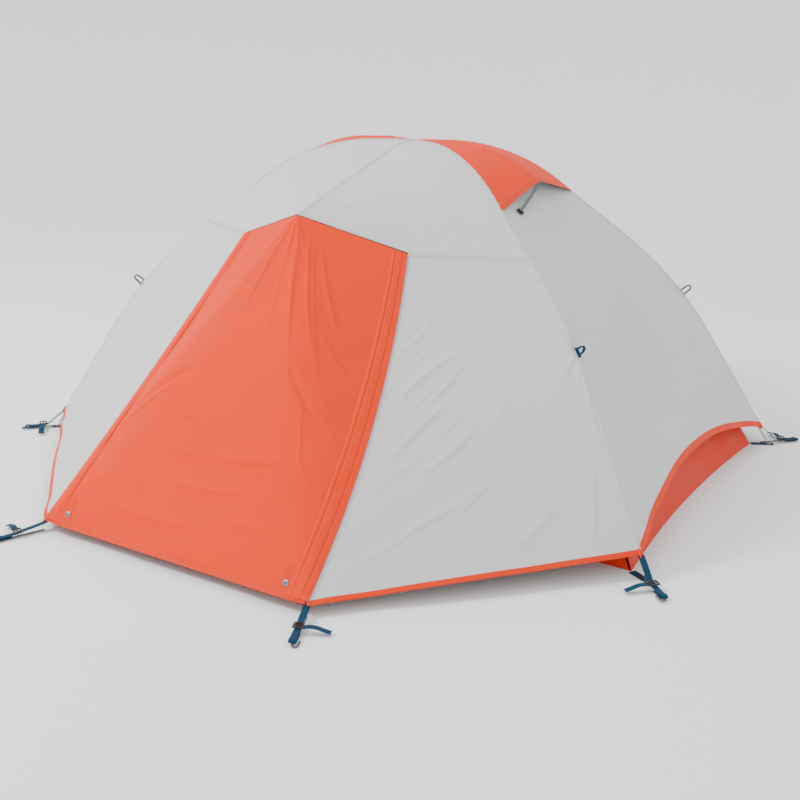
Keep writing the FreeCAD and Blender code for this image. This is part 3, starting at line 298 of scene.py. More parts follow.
def door_patch(sy):
    """Fly door: u from one side edge to the other, v from the top down.

    The front is flat between the peak and the staked corners. A crease from the peak to each
    corner, softer the lower it is, parts it from a narrow side.
    """
    p = corner_points(1, sy)
    middle, crease = (bowed(p["ridge_end"], foot) for foot in ((0.0, sy * VEST[1], VEST[2]), p["vest"]))
    edge = door_edge(1, sy)

    def half(u, v):
        a, c, e = middle(v), crease(v), edge(v)
        front, side = (np.linalg.norm(run, axis=-1) for run in (c - a, e - c))
        bend = np.clip(front / (front + side), 1e-9, 1 - 1e-9)
        soft = np.minimum(CREASE_SOFT[0] + CREASE_SOFT[1] * v, np.minimum(bend, 1.0 - bend))

        def sharp(s):
            s = np.asarray(s)[..., None]
            turn = bend[..., None]
            return np.where(s < turn, a + (c - a) * (s / turn), c + (e - c) * ((s - turn) / (1 - turn)))
        t = np.clip((u - bend + soft) / (2.0 * soft), 0.0, 1.0)[..., None]
        curve = sharp(bend - soft) * (1 - t) ** 2 + c * (2 * t * (1 - t)) + sharp(bend + soft) * t ** 2
        return np.where((np.abs(u - bend) < soft)[..., None], curve, sharp(u))
    return mirrored(half)


def end_surface(sx, q, t):
    """End of the fly at q down the slope and t across it, -1 to 1."""
    q = np.asarray(q, float)
    return vec(sx * CORNER_X * q, CORNER_Y * q * t, height(FLY_LINE, CORNER_R * q))


def end_patch(sx):
    """End panel: u across, v from the vent down to the arched hem."""
    def point(u, v):
        t = 2.0 * np.asarray(u, float) - 1.0
        hem = 1.0 - END_ARCH * (1.0 - t * t)
        return end_surface(sx, END_TOP_Q + (hem - END_TOP_Q) * v, t)
    return sagged(point, PANEL_SAG)


def hood_patch(sx):
    """Vent hood: u across, v from the apex to the free edge, which stands up in its middle."""
    def point(u, v):
        t = 2.0 * np.asarray(u, float) - 1.0
        lift = (1.0 - np.sqrt(t * t + 0.02) * 0.99) * np.asarray(v, float) ** 2
        return end_surface(sx, HOOD_Q * np.asarray(v), t) + lift[..., None] * np.array(
            (sx * HOOD_LIFT[0], 0.0, HOOD_LIFT[1]))
    return point


def vent_patch(sx):
    return lambda u, v: end_surface(sx, VENT_Q[0] + (VENT_Q[1] - VENT_Q[0]) * v,
                                    2.0 * np.asarray(u) - 1.0)


def inner_end(sx):
    """Inner end wall: u across, v from the apex to the floor."""
    return lambda u, v: vec(sx * FLOOR_X * np.asarray(v), FLOOR_Y * v * (2.0 * np.asarray(u) - 1.0),
                            height(INNER_LINE, FLOOR_R * np.asarray(v)))


def inner_side(sy):
    """Inner side wall: u across, v from the apex to the floor."""
    return lambda u, v: vec(FLOOR_X * v * (2.0 * np.asarray(u) - 1.0), sy * FLOOR_Y * np.asarray(v),
                            height(INNER_LINE, FLOOR_R * np.asarray(v)))


# ---------------------------------------------------------------- folds, puckers and ripples
def rise(x, width):
    """0 at x = 0, 1 from width on, smooth between."""
    t = np.clip(np.asarray(x, float) / width, 0.0, 1.0)
    return t * t * (3.0 - 2.0 * t)


def near(points, line):
    """Distance of each point to a polyline, and the share along it of the nearest place."""
    best = np.full(points.shape[:-1], 1e9)
    share = np.zeros(points.shape[:-1])
    count = len(line) - 1
    for k in range(count):
        a, run = line[k], line[k + 1] - line[k]
        t = np.clip((points - a) @ run / (run @ run), 0.0, 1.0)
        away = np.linalg.norm(points - a - t[..., None] * run, axis=-1)
        share = np.where(away < best, (k + t) / count, share)
        best = np.minimum(best, away)
    return best, share


def fold(surface, place, start, stop, width, depth, bend=0.0):
    """Rounded ridge (or hollow, below 0) between two places (u, v), fading at its ends."""
    t = np.linspace(0.0, 1.0, 9)
    u = start[0] + (stop[0] - start[0]) * t
    v = start[1] + (stop[1] - start[1]) * t + bend * np.sin(math.pi * t)
    away, share = near(place, surface(u, v))
    return depth * np.sin(math.pi * share) ** 0.8 * creased(away / width)


def creased(x):
    """Cross section of a fold in taut cloth: a narrow crest with long, flat flanks."""
    return 1.0 / (1.0 + 3.0 * x * x) - 0.06 * np.exp(-x * x / 9.0)


def calmed(u, v, side, top):
    """1 over most of a panel, falling to 0 at both its sides and at its top edge."""
    return rise(u, side) * rise(1 - u, side) * rise(v, top)


def swaying(run, pitch, sway, slow):
    """Wave along run whose spacing wanders slowly."""
    return np.sin(run / pitch + sway * np.sin(run / slow))


def fan(surface, place, focus, tips, width, depth):
    """Tension lines from one held point out to several places: sharp at the point, then fading."""
    total = 0.0
    for i, tip in enumerate(tips):
        t = np.linspace(0.0, 1.0, 7)
        line = surface(focus[0] + (tip[0] - focus[0]) * t, focus[1] + (tip[1] - focus[1]) * t)
        away, share = near(place, line)
        grown = width * (0.35 + share)
        fade = rise(share, 0.12) * (1.0 - rise(share, 1.0))
        total = total + depth * (1.0 - 0.25 * (i % 3)) * fade * creased(away / grown)
    return total


def pucker(along, away, pitch, depth, reach, turn=0.0):
    """Small gathers across a seam. along and away are metres along it and from it."""
    waves = np.sin(2 * math.pi * along / pitch + turn) + 0.7 * np.sin(
        2 * math.pi * along / (pitch * 0.57) + 2.1 * turn)
    swell = 0.55 + 0.45 * np.sin(2 * math.pi * along / (pitch * 6.3) + turn)
    return depth * waves * swell * rise(away, 0.004) * np.exp(-(away / reach) ** 2)


def lengths(place, axis):
    """Metres along a grid of points, down one of its two directions."""
    steps = np.linalg.norm(np.diff(place, axis=axis), axis=-1)
    pad = [(0, 0), (0, 0)]
    pad[axis] = (1, 0)
    return np.cumsum(np.pad(steps, pad), axis=axis)


# ---------------------------------------------------------------- meshes
class Mesh:
    """Vertices, faces, cloth coordinates and material numbers gathered for one piece."""

    def __init__(self):
        self.verts, self.faces, self.uvs, self.looks = [], [], [], []

    def grid(self, place, uv, look=0, flip=False):
        """Adds a grid of quads over points (n, m, 3)."""
        n, m = place.shape[:2]
        base = sum(len(v) for v in self.verts)
        index = base + np.arange(n * m).reshape(n, m)
        self.verts.append(place.reshape(-1, 3))
        quads = np.stack([index[:-1, :-1], index[1:, :-1], index[1:, 1:], index[:-1, 1:]], -1)
        quads = quads.reshape(-1, 4)
        flat = uv.reshape(-1, 2)
        if flip:
            quads = quads[:, ::-1]
        self.faces.append(quads)
        self.uvs.append(flat[quads.reshape(-1) - base])
        self.looks.append(np.full(len(quads), look))

    def sheet(self, top, bottom, uv=None, look=0, under=None):
        """Adds a closed thin sheet between two grids of points, top being the outer one."""
        if uv is None:
            uv = np.stack([lengths(top, 0), lengths(top, 1)], -1)
        i, j = max(1, top.shape[0] // 2), max(1, top.shape[1] // 2)
        du, dv = top[i, j] - top[i - 1, j], top[i, j] - top[i, j - 1]
        flip = float(np.cross(du, dv) @ (top[i, j] - bottom[i, j])) < 0
        self.grid(top, uv, look, flip)
        self.grid(bottom, uv, look if under is None else under, not flip)
        for cut, turn in ((np.s_[:1], False), (np.s_[-1:], True)):
            self.grid(np.concatenate([top[cut], bottom[cut]]), np.concatenate([uv[cut], uv[cut]]),
                      look, flip == turn)
        for cut, turn in ((np.s_[:, :1], True), (np.s_[:, -1:], False)):
            self.grid(np.concatenate([top[cut], bottom[cut]], 1), np.concatenate([uv[cut], uv[cut]], 1),
                      look, flip == turn)

    def piece(self, name, looks, sharp):
        """The finished object, its doubled edges joined."""
        verts, faces = np.concatenate(self.verts), np.concatenate(self.faces)
        mesh = bpy.data.meshes.new(name)
        mesh.from_pydata(verts.tolist(), [], faces.tolist())
        layer = mesh.uv_layers.new(name=CLOTH_UV)
        layer.data.foreach_set("uv", np.concatenate(self.uvs).astype(np.float32).reshape(-1))
        mesh.polygons.foreach_set("material_index", np.concatenate(self.looks).astype(np.int32))
        mesh.polygons.foreach_set("use_smooth", np.ones(len(faces), bool))
        for look in looks:
            mesh.materials.append(look)
        weld = bmesh.new()
        weld.from_mesh(mesh)
        bmesh.ops.remove_doubles(weld, verts=weld.verts, dist=1e-6)
        weld.to_mesh(mesh)
        weld.free()
        mesh.set_sharp_from_angle(angle=math.radians(sharp))
        made = bpy.data.objects.new(name, mesh)
        bpy.context.collection.objects.link(made)
        return made


def spread(low, high, count, crowd=0.5):
    """Values from low to high, closer together near both ends."""
    s = np.linspace(0.0, 1.0, count)
    return low + (high - low) * ((1 - crowd) * s + crowd * (1 - np.cos(math.pi * s)) / 2)


def cloth(mesh, surface, us, vs, relief=None, face=0.0, thick=CLOTH, look=0, under=None):
    """Adds a panel of cloth over parameter values us and vs, raised by its relief."""
    u, v = np.meshgrid(us, vs, indexing="ij")
    place, normal = surface(u, v), outward(surface, u, v)
    raised = face if relief is None else face + relief(u, v, place)
    top = place + normal * np.broadcast_to(raised, u.shape)[..., None]
    mesh.sheet(top, top - normal * thick, look=look, under=under)


def taped(mesh, middle, left_dir, right_dir, left_up, right_up, width=SEAM_WIDTH, lift=0.0016, look=0):
    """Raised seam along points: a rounded strip that follows the panel on each of its two sides."""
    crown = unit(left_up + right_up)
    rows = []
    for share, rise_by in ((1.0, 0.15), (0.62, 0.85), (0.30, 1.0)):
        rows.append(middle + left_dir * (width / 2 * share) + left_up * (lift * rise_by))
    rows.append(middle + crown * lift)
    for share, rise_by in ((0.30, 1.0), (0.62, 0.85), (1.0, 0.15)):
        rows.append(middle + right_dir * (width / 2 * share) + right_up * (lift * rise_by))
    top = np.stack(rows)
    mesh.sheet(top, top - crown * 0.0012, look=look)


def ribbon(mesh, points, across, width, thick, look=0, samples=60, cup=0.0):
    """Flat webbing along a smooth line through points; across is its width's direction."""
    line = smooth_line(points, samples)
    along = unit(np.gradient(line, axis=0))
    side = np.broadcast_to(np.asarray(across, float), line.shape)
    side = unit(side - along * np.sum(side * along, axis=-1, keepdims=True))
    up = np.cross(along, side)
    columns = np.array((-0.5, -0.46, -0.2, 0.0, 0.2, 0.46, 0.5))
    crown = np.array((-0.35, 0.0, 0.06, 0.1, 0.06, 0.0, -0.35)) * thick
    top = np.stack([line + side * (width * c) + up * (thick / 2 + h + cup * (4 * c * c))
                    for c, h in zip(columns, crown)])
    bottom = np.stack([line + side * (width * c) - up * (thick / 2 + h - cup * (4 * c * c))
                       for c, h in zip(columns, crown)])
    mesh.sheet(top, bottom, look=look)


def smooth_line(points, samples):
    """Catmull-Rom line through points."""
    p = np.asarray(points, float)
    p = np.concatenate([2 * p[:1] - p[1:2], p, 2 * p[-1:] - p[-2:-1]])
    t = np.linspace(0.0, len(p) - 3 - 1e-9, samples)
    i = t.astype(int)
    f = (t - i)[:, None]
    a, b, c, d = p[i], p[i + 1], p[i + 2], p[i + 3]
    return 0.5 * (2 * b + (c - a) * f + (2 * a - 5 * b + 4 * c - d) * f ** 2
                  + (3 * b - a - 3 * c + d) * f ** 3)


def lathe(mesh, centre, axis, profile, sides=28, look=0):
    """Round part: profile of (radius, height) turned about an axis."""
    axis = np.asarray(axis, float) / np.linalg.norm(axis)
    side = np.cross(axis, (0.31, 0.17, 0.93))
    side /= np.linalg.norm(side)
    other = np.cross(axis, side)
    turn = np.linspace(0.0, 2 * math.pi, sides + 1)[:, None, None]
    profile = np.asarray(profile, float)
    radius, lift = profile[:, :1], profile[:, 1:]
    skin = centre + axis * lift + radius * (side * np.cos(turn) + other * np.sin(turn))
    uv = np.stack([np.broadcast_to(turn[..., 0], skin.shape[:2]) * 0.01, lengths(skin, 1)], -1)
    mesh.grid(skin, uv, look)


# ---------------------------------------------------------------- materials
class Look:
    """A material being made: one Principled shader and the nodes that feed it."""

    def __init__(self, name, **sockets):
        self.material = bpy.data.materials.new(name)
        self.material.use_nodes = True
        self.tree = self.material.node_tree
        self.shader = self.tree.nodes["Principled BSDF"]
        for socket, value in sockets.items():
            self.shader.inputs[socket.replace("_", " ")].default_value = value

    def node(self, kind, inputs=(), **settings):
        """A node of that kind with its inputs set or linked; gives back its first output."""
        made = self.tree.nodes.new("ShaderNode" + kind)
        for key, value in settings.items():
            setattr(made, key, value)
        for key, value in dict(inputs).items():
            if isinstance(value, bpy.types.NodeSocket):
                self.tree.links.new(value, made.inputs[key])
            else:
                made.inputs[key].default_value = value
        return made.outputs[0]

    def place(self, cloth=True):
        if cloth:
            return self.node("UVMap", uv_map=CLOTH_UV)
        self.node("TexCoord")
        return self.tree.nodes[-1].outputs["Object"]

    def noise(self, place, size, detail=3.0, rough=0.5):
        """Noise whose features are about size metres across."""
        return self.node("TexNoise", {"Vector": place, "Scale": 0.5 / size, "Detail": detail,
                                      "Roughness": rough})

    def threads(self, place, pitch, direction):
        """Parallel threads pitch metres apart."""
        return self.node("TexWave", {"Vector": place, "Scale": 0.314 / pitch}, bands_direction=direction)

    def math(self, operation, a, b):
        return self.node("Math", {0: a, 1: b}, operation=operation)

    def mix(self, share, *colours):
        """Colour ramp over a share from 0 to 1."""
        made = self.node("ValToRGB", {0: share}).node
        while len(made.color_ramp.elements) < len(colours):
            made.color_ramp.elements.new(0.5)
        for i, (element, colour) in enumerate(zip(made.color_ramp.elements, colours)):
            element.position = i / (len(colours) - 1)
            element.color = (*colour, 1.0)
        return made.outputs[0]

    def span(self, share, low, high):
        return self.node("MapRange", {"Value": share, "To Min": low, "To Max": high})

    def feed(self, socket, value):
        self.tree.links.new(value, self.shader.inputs[socket])
        return self

    def bump(self, height, distance, strength=1.0):
        normal = self.node("Bump", {"Height": height, "Distance": distance, "Strength": strength})
        return self.feed("Normal", normal)


def tinted(colour, factor):
    return tuple(min(1.0, c * factor) for c in colour)


def cloth_look(name, colour, rough=0.62, vary=0.05, crinkle=0.0009, thread=0.0005, sheen=0.03, shine=0.25):
    """Coated tent cloth: fine plain weave, faint crinkles, uneven dye and handling marks."""
    look = Look(name, Sheen_Weight=sheen, Sheen_Roughness=0.45, Specular_IOR_Level=shine)
    place = look.place()
    clouds = look.noise(place, 0.22, 4.0, 0.55)
    marks = look.noise(place, 0.012, 6.0, 0.65)
    both = look.math("ADD", look.math("MULTIPLY", clouds, 0.7), look.math("MULTIPLY", marks, 0.3))
    look.feed("Base Color", look.mix(both, tinted(colour, 1 - 2.2 * vary), colour,
                                     tinted(colour, 1 + 1.6 * vary)))
    look.feed("Roughness", look.span(marks, rough - 0.09, rough + 0.09))
    warp, weft = look.threads(place, thread, "X"), look.threads(place, thread * 1.07, "Y")
    weave = look.math("MULTIPLY", look.math("ADD", warp, weft), 0.08)
    folds = look.node("TexNoise", {"Vector": place, "Scale": 13.0, "Detail": 5.0, "Roughness": 0.6,
                                   "Distortion": 0.7})
    look.bump(look.math("ADD", folds, weave), crinkle)
    return look.material


def net_look(name, colour, hole=0.0014, cover=0.62):
    """Fine netting: knotted threads with open holes between them."""
    look = Look(name, Roughness=0.75, Sheen_Weight=0.2)
    place = look.place()
    across, down = look.threads(place, hole, "DIAGONAL"), look.threads(place, hole, "X")
    net = look.math("MAXIMUM", across, down)
    look.feed("Base Color", look.mix(look.noise(place, 0.05), tinted(colour, 0.8), colour))
    look.feed("Alpha", look.span(net, cover - 0.35, cover + 0.3))
    look.bump(net, 0.0003)
    return look.material


def webbing_look(name, colour, rib=0.0016):
    """Woven webbing: ribs across, tight edges, fading on the high threads."""
    look = Look(name, Sheen_Weight=0.04, Sheen_Roughness=0.4, Specular_IOR_Level=0.15)
    place = look.place()
    ribs, fine = look.threads(place, rib, "Y"), look.threads(place, rib * 0.6, "X")
    worn = look.noise(place, 0.006, 5.0, 0.7)
    weave = look.math("MULTIPLY", look.math("ADD", ribs, fine), 0.5)
    shade = look.math("MULTIPLY", look.math("ADD", weave, worn), 0.5)
    look.feed("Base Color", look.mix(shade, tinted(colour, 0.45), colour, tinted(colour, 1.7)))
    look.feed("Roughness", look.span(worn, 0.55, 0.85))
    look.bump(look.math("ADD", weave, look.math("MULTIPLY", worn, 0.4)), 0.0006)
    return look.material


def metal_look(name, colour, rough, metal=1.0, scratch=0.004, grime=0.6):
    """Drawn metal: fine scratches, dull patches and darker grime in places."""
    look = Look(name, Metallic=metal)
    place = look.place(cloth=False)
    patches = look.noise(place, 0.02, 6.0, 0.65)
    lines = look.noise(place, scratch, 8.0, 0.75)
    look.feed("Base Color", look.mix(patches, tinted(colour, grime), colour, tinted(colour, 1.15)))
    look.feed("Roughness", look.span(lines, rough - 0.08, rough + 0.14))
    look.bump(lines, 0.00008)
    return look.material


def plastic_look(name, colour, rough=0.42):
    """Moulded plastic: faint texture from the mould and scuffed high spots."""
    look = Look(name, Specular_IOR_Level=0.5)
    place = look.place(cloth=False)
    grain = look.noise(place, 0.0008, 4.0, 0.6)
    scuffs = look.noise(place, 0.009, 7.0, 0.7)
    look.feed("Base Color", look.mix(scuffs, tinted(colour, 0.75), colour, tinted(colour, 1.5)))
    look.feed("Roughness", look.span(scuffs, rough - 0.06, rough + 0.16))
    look.bump(look.math("ADD", grain, scuffs), 0.00012)
    return look.material


def cord_look(name, colour, strand=0.0025):
    """Braided cord: strands crossing on a slant."""
    look = Look(name, Sheen_Weight=0.2)
    place = look.place(cloth=False)
    braid = look.threads(place, strand, "DIAGONAL")
    fuzz = look.noise(place, 0.002, 5.0, 0.7)
    look.feed("Base Color", look.mix(look.math("MULTIPLY", look.math("ADD", braid, fuzz), 0.5),
                                     tinted(colour, 0.5), colour, tinted(colour, 1.4)))
    look.feed("Roughness", look.span(fuzz, 0.6, 0.85))
    look.bump(braid, 0.0004)
    return look.material


def seam_look(name, colour, thread_colour, stitch=0.0032, row=0.0075):
    """Folded seam with two rows of stitching along it; the seam's length runs down the cloth."""
    look = Look(name, Sheen_Weight=0.03, Specular_IOR_Level=0.2)
    place = look.place()
    rows = look.threads(place, row, "X")
    beads = look.threads(place, stitch, "Y")
    on_row = look.node("MapRange", {"Value": rows, "From Min": 0.86, "From Max": 0.95})
    thread = look.math("MULTIPLY", on_row, look.node("MapRange", {"Value": beads, "From Min": 0.25,
                                                                "From Max": 0.55}))
    gathers = look.noise(place, 0.010, 4.0, 0.6)
    ground = look.mix(gathers, tinted(colour, 0.84), colour, tinted(colour, 1.06))
    tint = look.node("MixRGB", {"Fac": thread, "Color1": ground, "Color2": (*thread_colour, 1.0)})
    look.feed("Base Color", tint)
    look.feed("Roughness", look.span(gathers, 0.5, 0.75))
    look.bump(look.math("ADD", look.math("MULTIPLY", thread, 0.5), gathers), 0.0007)
    return look.material


# The third colour, for the tub and the floor, is the fly's orange darkened as painted shade: the tub stands
# in the fly's shadow.
GREY, ORANGE, SHADED_FLOOR_ORANGE = (0.62, 0.630, 0.626), (0.88, 0.040, 0.001), (0.80, 0.030, 0.001)
TEAL, BLACK, DARK_GREY = (0.004, 0.050, 0.105), (0.012, 0.012, 0.014), (0.09, 0.095, 0.10)
MESH_GREY, INNER_GREY, LINING = (0.10, 0.105, 0.11), (0.48, 0.49, 0.49), (0.40, 0.44, 0.46)

LOOKS = {
    "grey_cloth": cloth_look("grey_cloth", GREY),
    "orange_cloth": cloth_look("orange_cloth", ORANGE, rough=0.58, vary=0.06, sheen=0.0, shine=0.14),
    # Tub and floor cloth: its orange is darker than the fly's as painted shade.
    "shaded_floor_cloth": cloth_look("shaded_floor_cloth", SHADED_FLOOR_ORANGE, rough=0.5, vary=0.07, crinkle=0.0016),
    "inner_cloth": cloth_look("inner_cloth", INNER_GREY, rough=0.7, thread=0.0004),
    "lining_cloth": cloth_look("lining_cloth", LINING, rough=0.66),
    "netting": net_look("netting", MESH_GREY),
    "vent_netting": net_look("vent_netting", BLACK, 0.0018, 0.7),
    "grey_seam": seam_look("grey_seam", tinted(GREY, 0.93), tinted(GREY, 0.55)),
    "orange_seam": seam_look("orange_seam", tinted(ORANGE, 0.9), tinted(ORANGE, 0.45)),
    "binding": seam_look("binding", tinted(ORANGE, 0.96), tinted(ORANGE, 0.4), 0.003, 0.006),
    "webbing": webbing_look("webbing", TEAL),
    "tape": webbing_look("tape", DARK_GREY, 0.0012),
    "zip_metal": metal_look("zip_metal", (0.30, 0.30, 0.31), 0.35),
    "aluminium": metal_look("aluminium", (0.62, 0.60, 0.57), 0.30),
    "steel": metal_look("steel", (0.42, 0.42, 0.43), 0.32, grime=0.5),
    "stake_wire": metal_look("stake_wire", (0.16, 0.16, 0.17), 0.38, grime=0.45),
    "black_plastic": plastic_look("black_plastic", (0.018, 0.018, 0.020)),
    "grey_plastic": plastic_look("grey_plastic", (0.10, 0.11, 0.12)),
    "elastic": cord_look("elastic", (0.32, 0.32, 0.34), 0.0015),
    "blue_stud": plastic_look("blue_stud", (0.05, 0.16, 0.28), 0.35),
}


def finished(mesh, name, looks, body, nodes=(), sharp=50.0):
    """Makes a mesh into a piece, puts it on its body and hides the CAD parts it stands for.

    The floor, the tub, the inner walls and the hoods rest on the ground, the floor, the pole clips and the
    struts, and are still declared on the poles.
    """
    made = mesh.piece(name, [LOOKS[look] for look in looks], sharp)
    if body:
        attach(made, body)
    if nodes:
        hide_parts(*nodes)
    return made


# ---------------------------------------------------------------- fly panels
SIDE_FOLDS = (                       # start, stop, width, depth, bend
    ((0.06, 0.46), (0.42, 0.33), 0.017, 0.0055, -0.02),
    ((0.22, 0.49), (0.44, 0.36), 0.010, 0.0035, 0.01),
    ((0.10, 0.63), (0.38, 0.48), 0.015, 0.0050, -0.02),
    ((0.24, 0.69), (0.50, 0.57), 0.012, 0.0040, 0.01),
    ((0.20, 0.86), (0.52, 0.75), 0.014, 0.0035, 0.00),
    ((0.04, 0.30), (0.24, 0.20), 0.012, 0.0025, 0.02),
    ((0.55, 0.95), (0.80, 0.80), 0.020, 0.0030, 0.02),
    ((0.86, 0.96), (0.93, 0.72), 0.010, 0.0030, 0.00),
    ((0.05, 0.40), (0.30, 0.28), 0.007, 0.0022, -0.01),
    ((0.12, 0.52), (0.36, 0.40), 0.007, 0.0024, -0.01),
    ((0.08, 0.56), (0.26, 0.48), 0.006, 0.0020, 0.01),
    ((0.06, 0.72), (0.30, 0.62), 0.007, 0.0022, -0.01),
    ((0.30, 0.60), (0.44, 0.50), 0.006, 0.0020, 0.01),
    ((0.38, 0.84), (0.60, 0.70), 0.008, 0.0022, 0.00),
    ((0.06, 0.92), (0.30, 0.82), 0.008, 0.0020, 0.01),
    ((0.50, 0.62), (0.66, 0.50), 0.007, 0.0020, 0.00),
)
SIDE_TIPS = ((0.72, 0.06), (0.83, 0.12), (0.66, 0.20), (0.84, 0.27), (0.78, 0.56), (0.90, 0.66),
             (0.95, 0.80))
END_FOLDS = (
    ((0.06, 0.34), (0.27, 0.43), 0.012, 0.0035, 0.01),
    ((0.10, 0.43), (0.26, 0.50), 0.010, 0.0028, 0.01),
    ((0.30, 0.90), (0.44, 0.72), 0.020, 0.0030, 0.00),
    ((0.80, 0.82), (0.94, 0.66), 0.014, 0.0030, 0.01),
)
END_TIPS = ((0.20, 0.42), (0.26, 0.54), (0.24, 0.68), (0.13, 0.78))
ROOF_FOLDS = (
    ((0.10, 0.92), (0.42, 0.60), 0.014, 0.0028, 0.01),
    ((-0.16, 0.88), (-0.46, 0.66), 0.012, 0.0026, 0.01),
    ((0.96, 0.80), (0.60, 0.86), 0.010, 0.0020, 0.00),
    ((-0.95, 0.84), (-0.62, 0.80), 0.010, 0.0022, 0.00),
)
DOOR_FOLDS = (
    ((0.07, 0.04), (0.30, 0.36), 0.010, 0.0050, 0.01),
    ((0.16, 0.03), (0.52, 0.40), 0.009, 0.0040, 0.02),
    ((0.28, 0.06), (0.66, 0.33), 0.009, 0.0032, 0.01),
    ((-0.05, 0.05), (-0.16, 0.32), 0.012, 0.0035, 0.00),
    ((0.38, 0.43), (0.78, 0.58), 0.013, -0.0045, 0.02),
    ((0.52, 0.50), (0.66, 0.68), 0.010, 0.0030, 0.00),
    ((-0.30, 0.48), (-0.86, 0.66), 0.026, -0.0085, -0.02),
    ((-0.42, 0.53), (-0.80, 0.70), 0.017, 0.0055, -0.01),
    ((-0.52, 0.78), (-0.88, 0.71), 0.015, -0.0045, 0.01),
    ((0.02, 0.70), (0.60, 0.67), 0.014, 0.0032, 0.02),
    ((-0.20, 0.80), (0.42, 0.78), 0.012, 0.0030, 0.01),
    ((-0.60, 0.90), (0.10, 0.90), 0.016, 0.0028, 0.01),
    ((0.10, 0.60), (0.55, 0.76), 0.012, 0.0026, 0.02),
    ((0.10, 0.05), (0.42, 0.50), 0.006, 0.0024, 0.02),
    ((0.22, 0.05), (0.60, 0.46), 0.006, 0.0022, 0.01),
    ((0.02, 0.06), (0.14, 0.40), 0.006, 0.0022, 0.00),
    ((-0.10, 0.07), (-0.36, 0.36), 0.007, 0.0022, -0.01),
    ((0.48, 0.30), (0.80, 0.42), 0.007, 0.0026, 0.01),
    ((0.55, 0.60), (0.80, 0.74), 0.007, 0.0022, 0.01),
    ((-0.10, 0.62), (-0.50, 0.60), 0.008, 0.0022, 0.01),
    ((-0.70, 0.62), (-0.90, 0.80), 0.008, 0.0028, 0.00),
    ((0.20, 0.86), (0.70, 0.84), 0.008, 0.0020, 0.01),
    ((-0.30, 0.72), (0.10, 0.74), 0.007, 0.0020, -0.01),
)
DOOR_TIPS = ((0.10, 0.22), (0.26, 0.20), (0.42, 0.22), (-0.12, 0.20), (-0.34, 0.20))


def folds(surface, place, listed, strength=1.5):
    total = 0.0
    for start, stop, width, depth, bend in listed:
        total = total + fold(surface, place, start, stop, width, depth * strength, bend)
    return total


def ripple(place, size, depth):
    """Slow unevenness of stretched cloth."""
    x, y, z = (place[..., k] / size for k in range(3))
    return depth * (np.sin(6.1 * x + 2.3 * z + 0.7) * np.sin(5.3 * y - 1.9 * z + 1.1)
                    + 0.5 * np.sin(11.7 * x - 4.1 * y) * np.sin(9.3 * z + 2.0 * y))


def side_relief(surface, sx, sy):
    def relief(u, v, place):
        down, across = lengths(place, 1), lengths(place, 0)
        to_pole = across[-1:] - across
        calm = calmed(u, v, 0.06, 0.05)
        total = calm * (folds(surface, place, SIDE_FOLDS, 1.6 if sx * sy < 0 else 1.3)
                        + ripple(place, 0.55, 0.0012))
        focus = (1.0, (TIE_OUT_AT - SEAM_AT) / (1 - SEAM_AT))
        total = total + rise(1 - u, 0.02) * fan(surface, place, focus, SIDE_TIPS, 0.013, 0.0070)
        total = total + pucker(down, to_pole, 0.034, 0.0011, 0.030, sx + 2 * sy)
        total = total + pucker(down, across, 0.041, 0.0009, 0.024, 1.3 + sx)
        total = total + pucker(across, down, 0.037, 0.0007, 0.020, 0.4)
        hem = rise(v - 0.90, 0.10) * rise(u, 0.08) * rise(1 - u, 0.08)
        return total + hem * 0.0030 * swaying(across, 0.052, 1.7, 0.13)
    return relief


def end_relief(surface):
    def relief(u, v, place):
        down, across = lengths(place, 1), lengths(place, 0)
        far = across[-1:] - across
        calm = calmed(u, v, 0.05, 0.04)
        total = calm * (folds(surface, place, END_FOLDS) + ripple(place, 0.6, 0.0014))
        at = (TIE_OUT_AT - END_TOP_Q) / (1 - END_TOP_Q)
        for focus, side in ((0.0, 1), (1.0, -1)):
            tips = [(focus + side * tip[0], tip[1]) for tip in END_TIPS]
            edge = rise(np.abs(u - focus), 0.02)
            total = total + edge * fan(surface, place, (focus, at), tips, 0.013, 0.0062)
        total = total + pucker(down, across, 0.036, 0.0011, 0.030, 0.9)
        total = total + pucker(down, far, 0.033, 0.0011, 0.030, 2.2)
        hem = rise(v - 0.92, 0.08) * rise(u, 0.05) * rise(1 - u, 0.05)
        return total + hem * 0.0022 * swaying(across, 0.047, 1.3, 0.17)
    return relief


def roof_relief(surface):
    def relief(u, v, place):
        out, across = lengths(place, 1), lengths(place, 0)
        calm = rise(1 - np.abs(u), 0.06) * rise(v, 0.05) * rise(1 - v, 0.05) * rise(np.abs(u), 0.05)
        total = calm * (folds(surface, place, ROOF_FOLDS) + ripple(place, 0.5, 0.0010))
        total = total + pucker(out, np.abs(across - across[len(across) // 2]), 0.032, 0.0008, 0.026, 0.3)
        total = total + pucker(out, across, 0.035, 0.0009, 0.026, 1.9)
        total = total + pucker(out, across[-1:] - across, 0.035, 0.0009, 0.026, 2.7)
        return total + pucker(across, out[:, -1:] - out, 0.030, 0.0008, 0.024, 0.8)
    return relief


def door_relief(surface, sy):
    def relief(u, v, place):
        u = u if sy < 0 else -u
        down, across = lengths(place, 1), lengths(place, 0)
        calm = rise(1 - np.abs(u), 0.12) * rise(v, 0.03) * rise(1 - v, 0.03)
        drawn = surface if sy < 0 else (lambda a, b: surface(-np.asarray(a), b))
        total = calm * (folds(drawn, place, DOOR_FOLDS) + ripple(place, 0.42, 0.0016)
                        + fan(drawn, place, (0.0, 0.0), DOOR_TIPS, 0.012, 0.0068))
        total = total + pucker(down, across, 0.040, 0.0012, 0.050, 0.5)
        total = total + pucker(down, across[-1:] - across, 0.038, 0.0012, 0.050, 1.5)
        hem = rise(v - 0.93, 0.07) * rise(1 - np.abs(u), 0.10)
        return total + hem * 0.0022 * swaying(across, 0.055, 1.2, 0.15)
    return relief


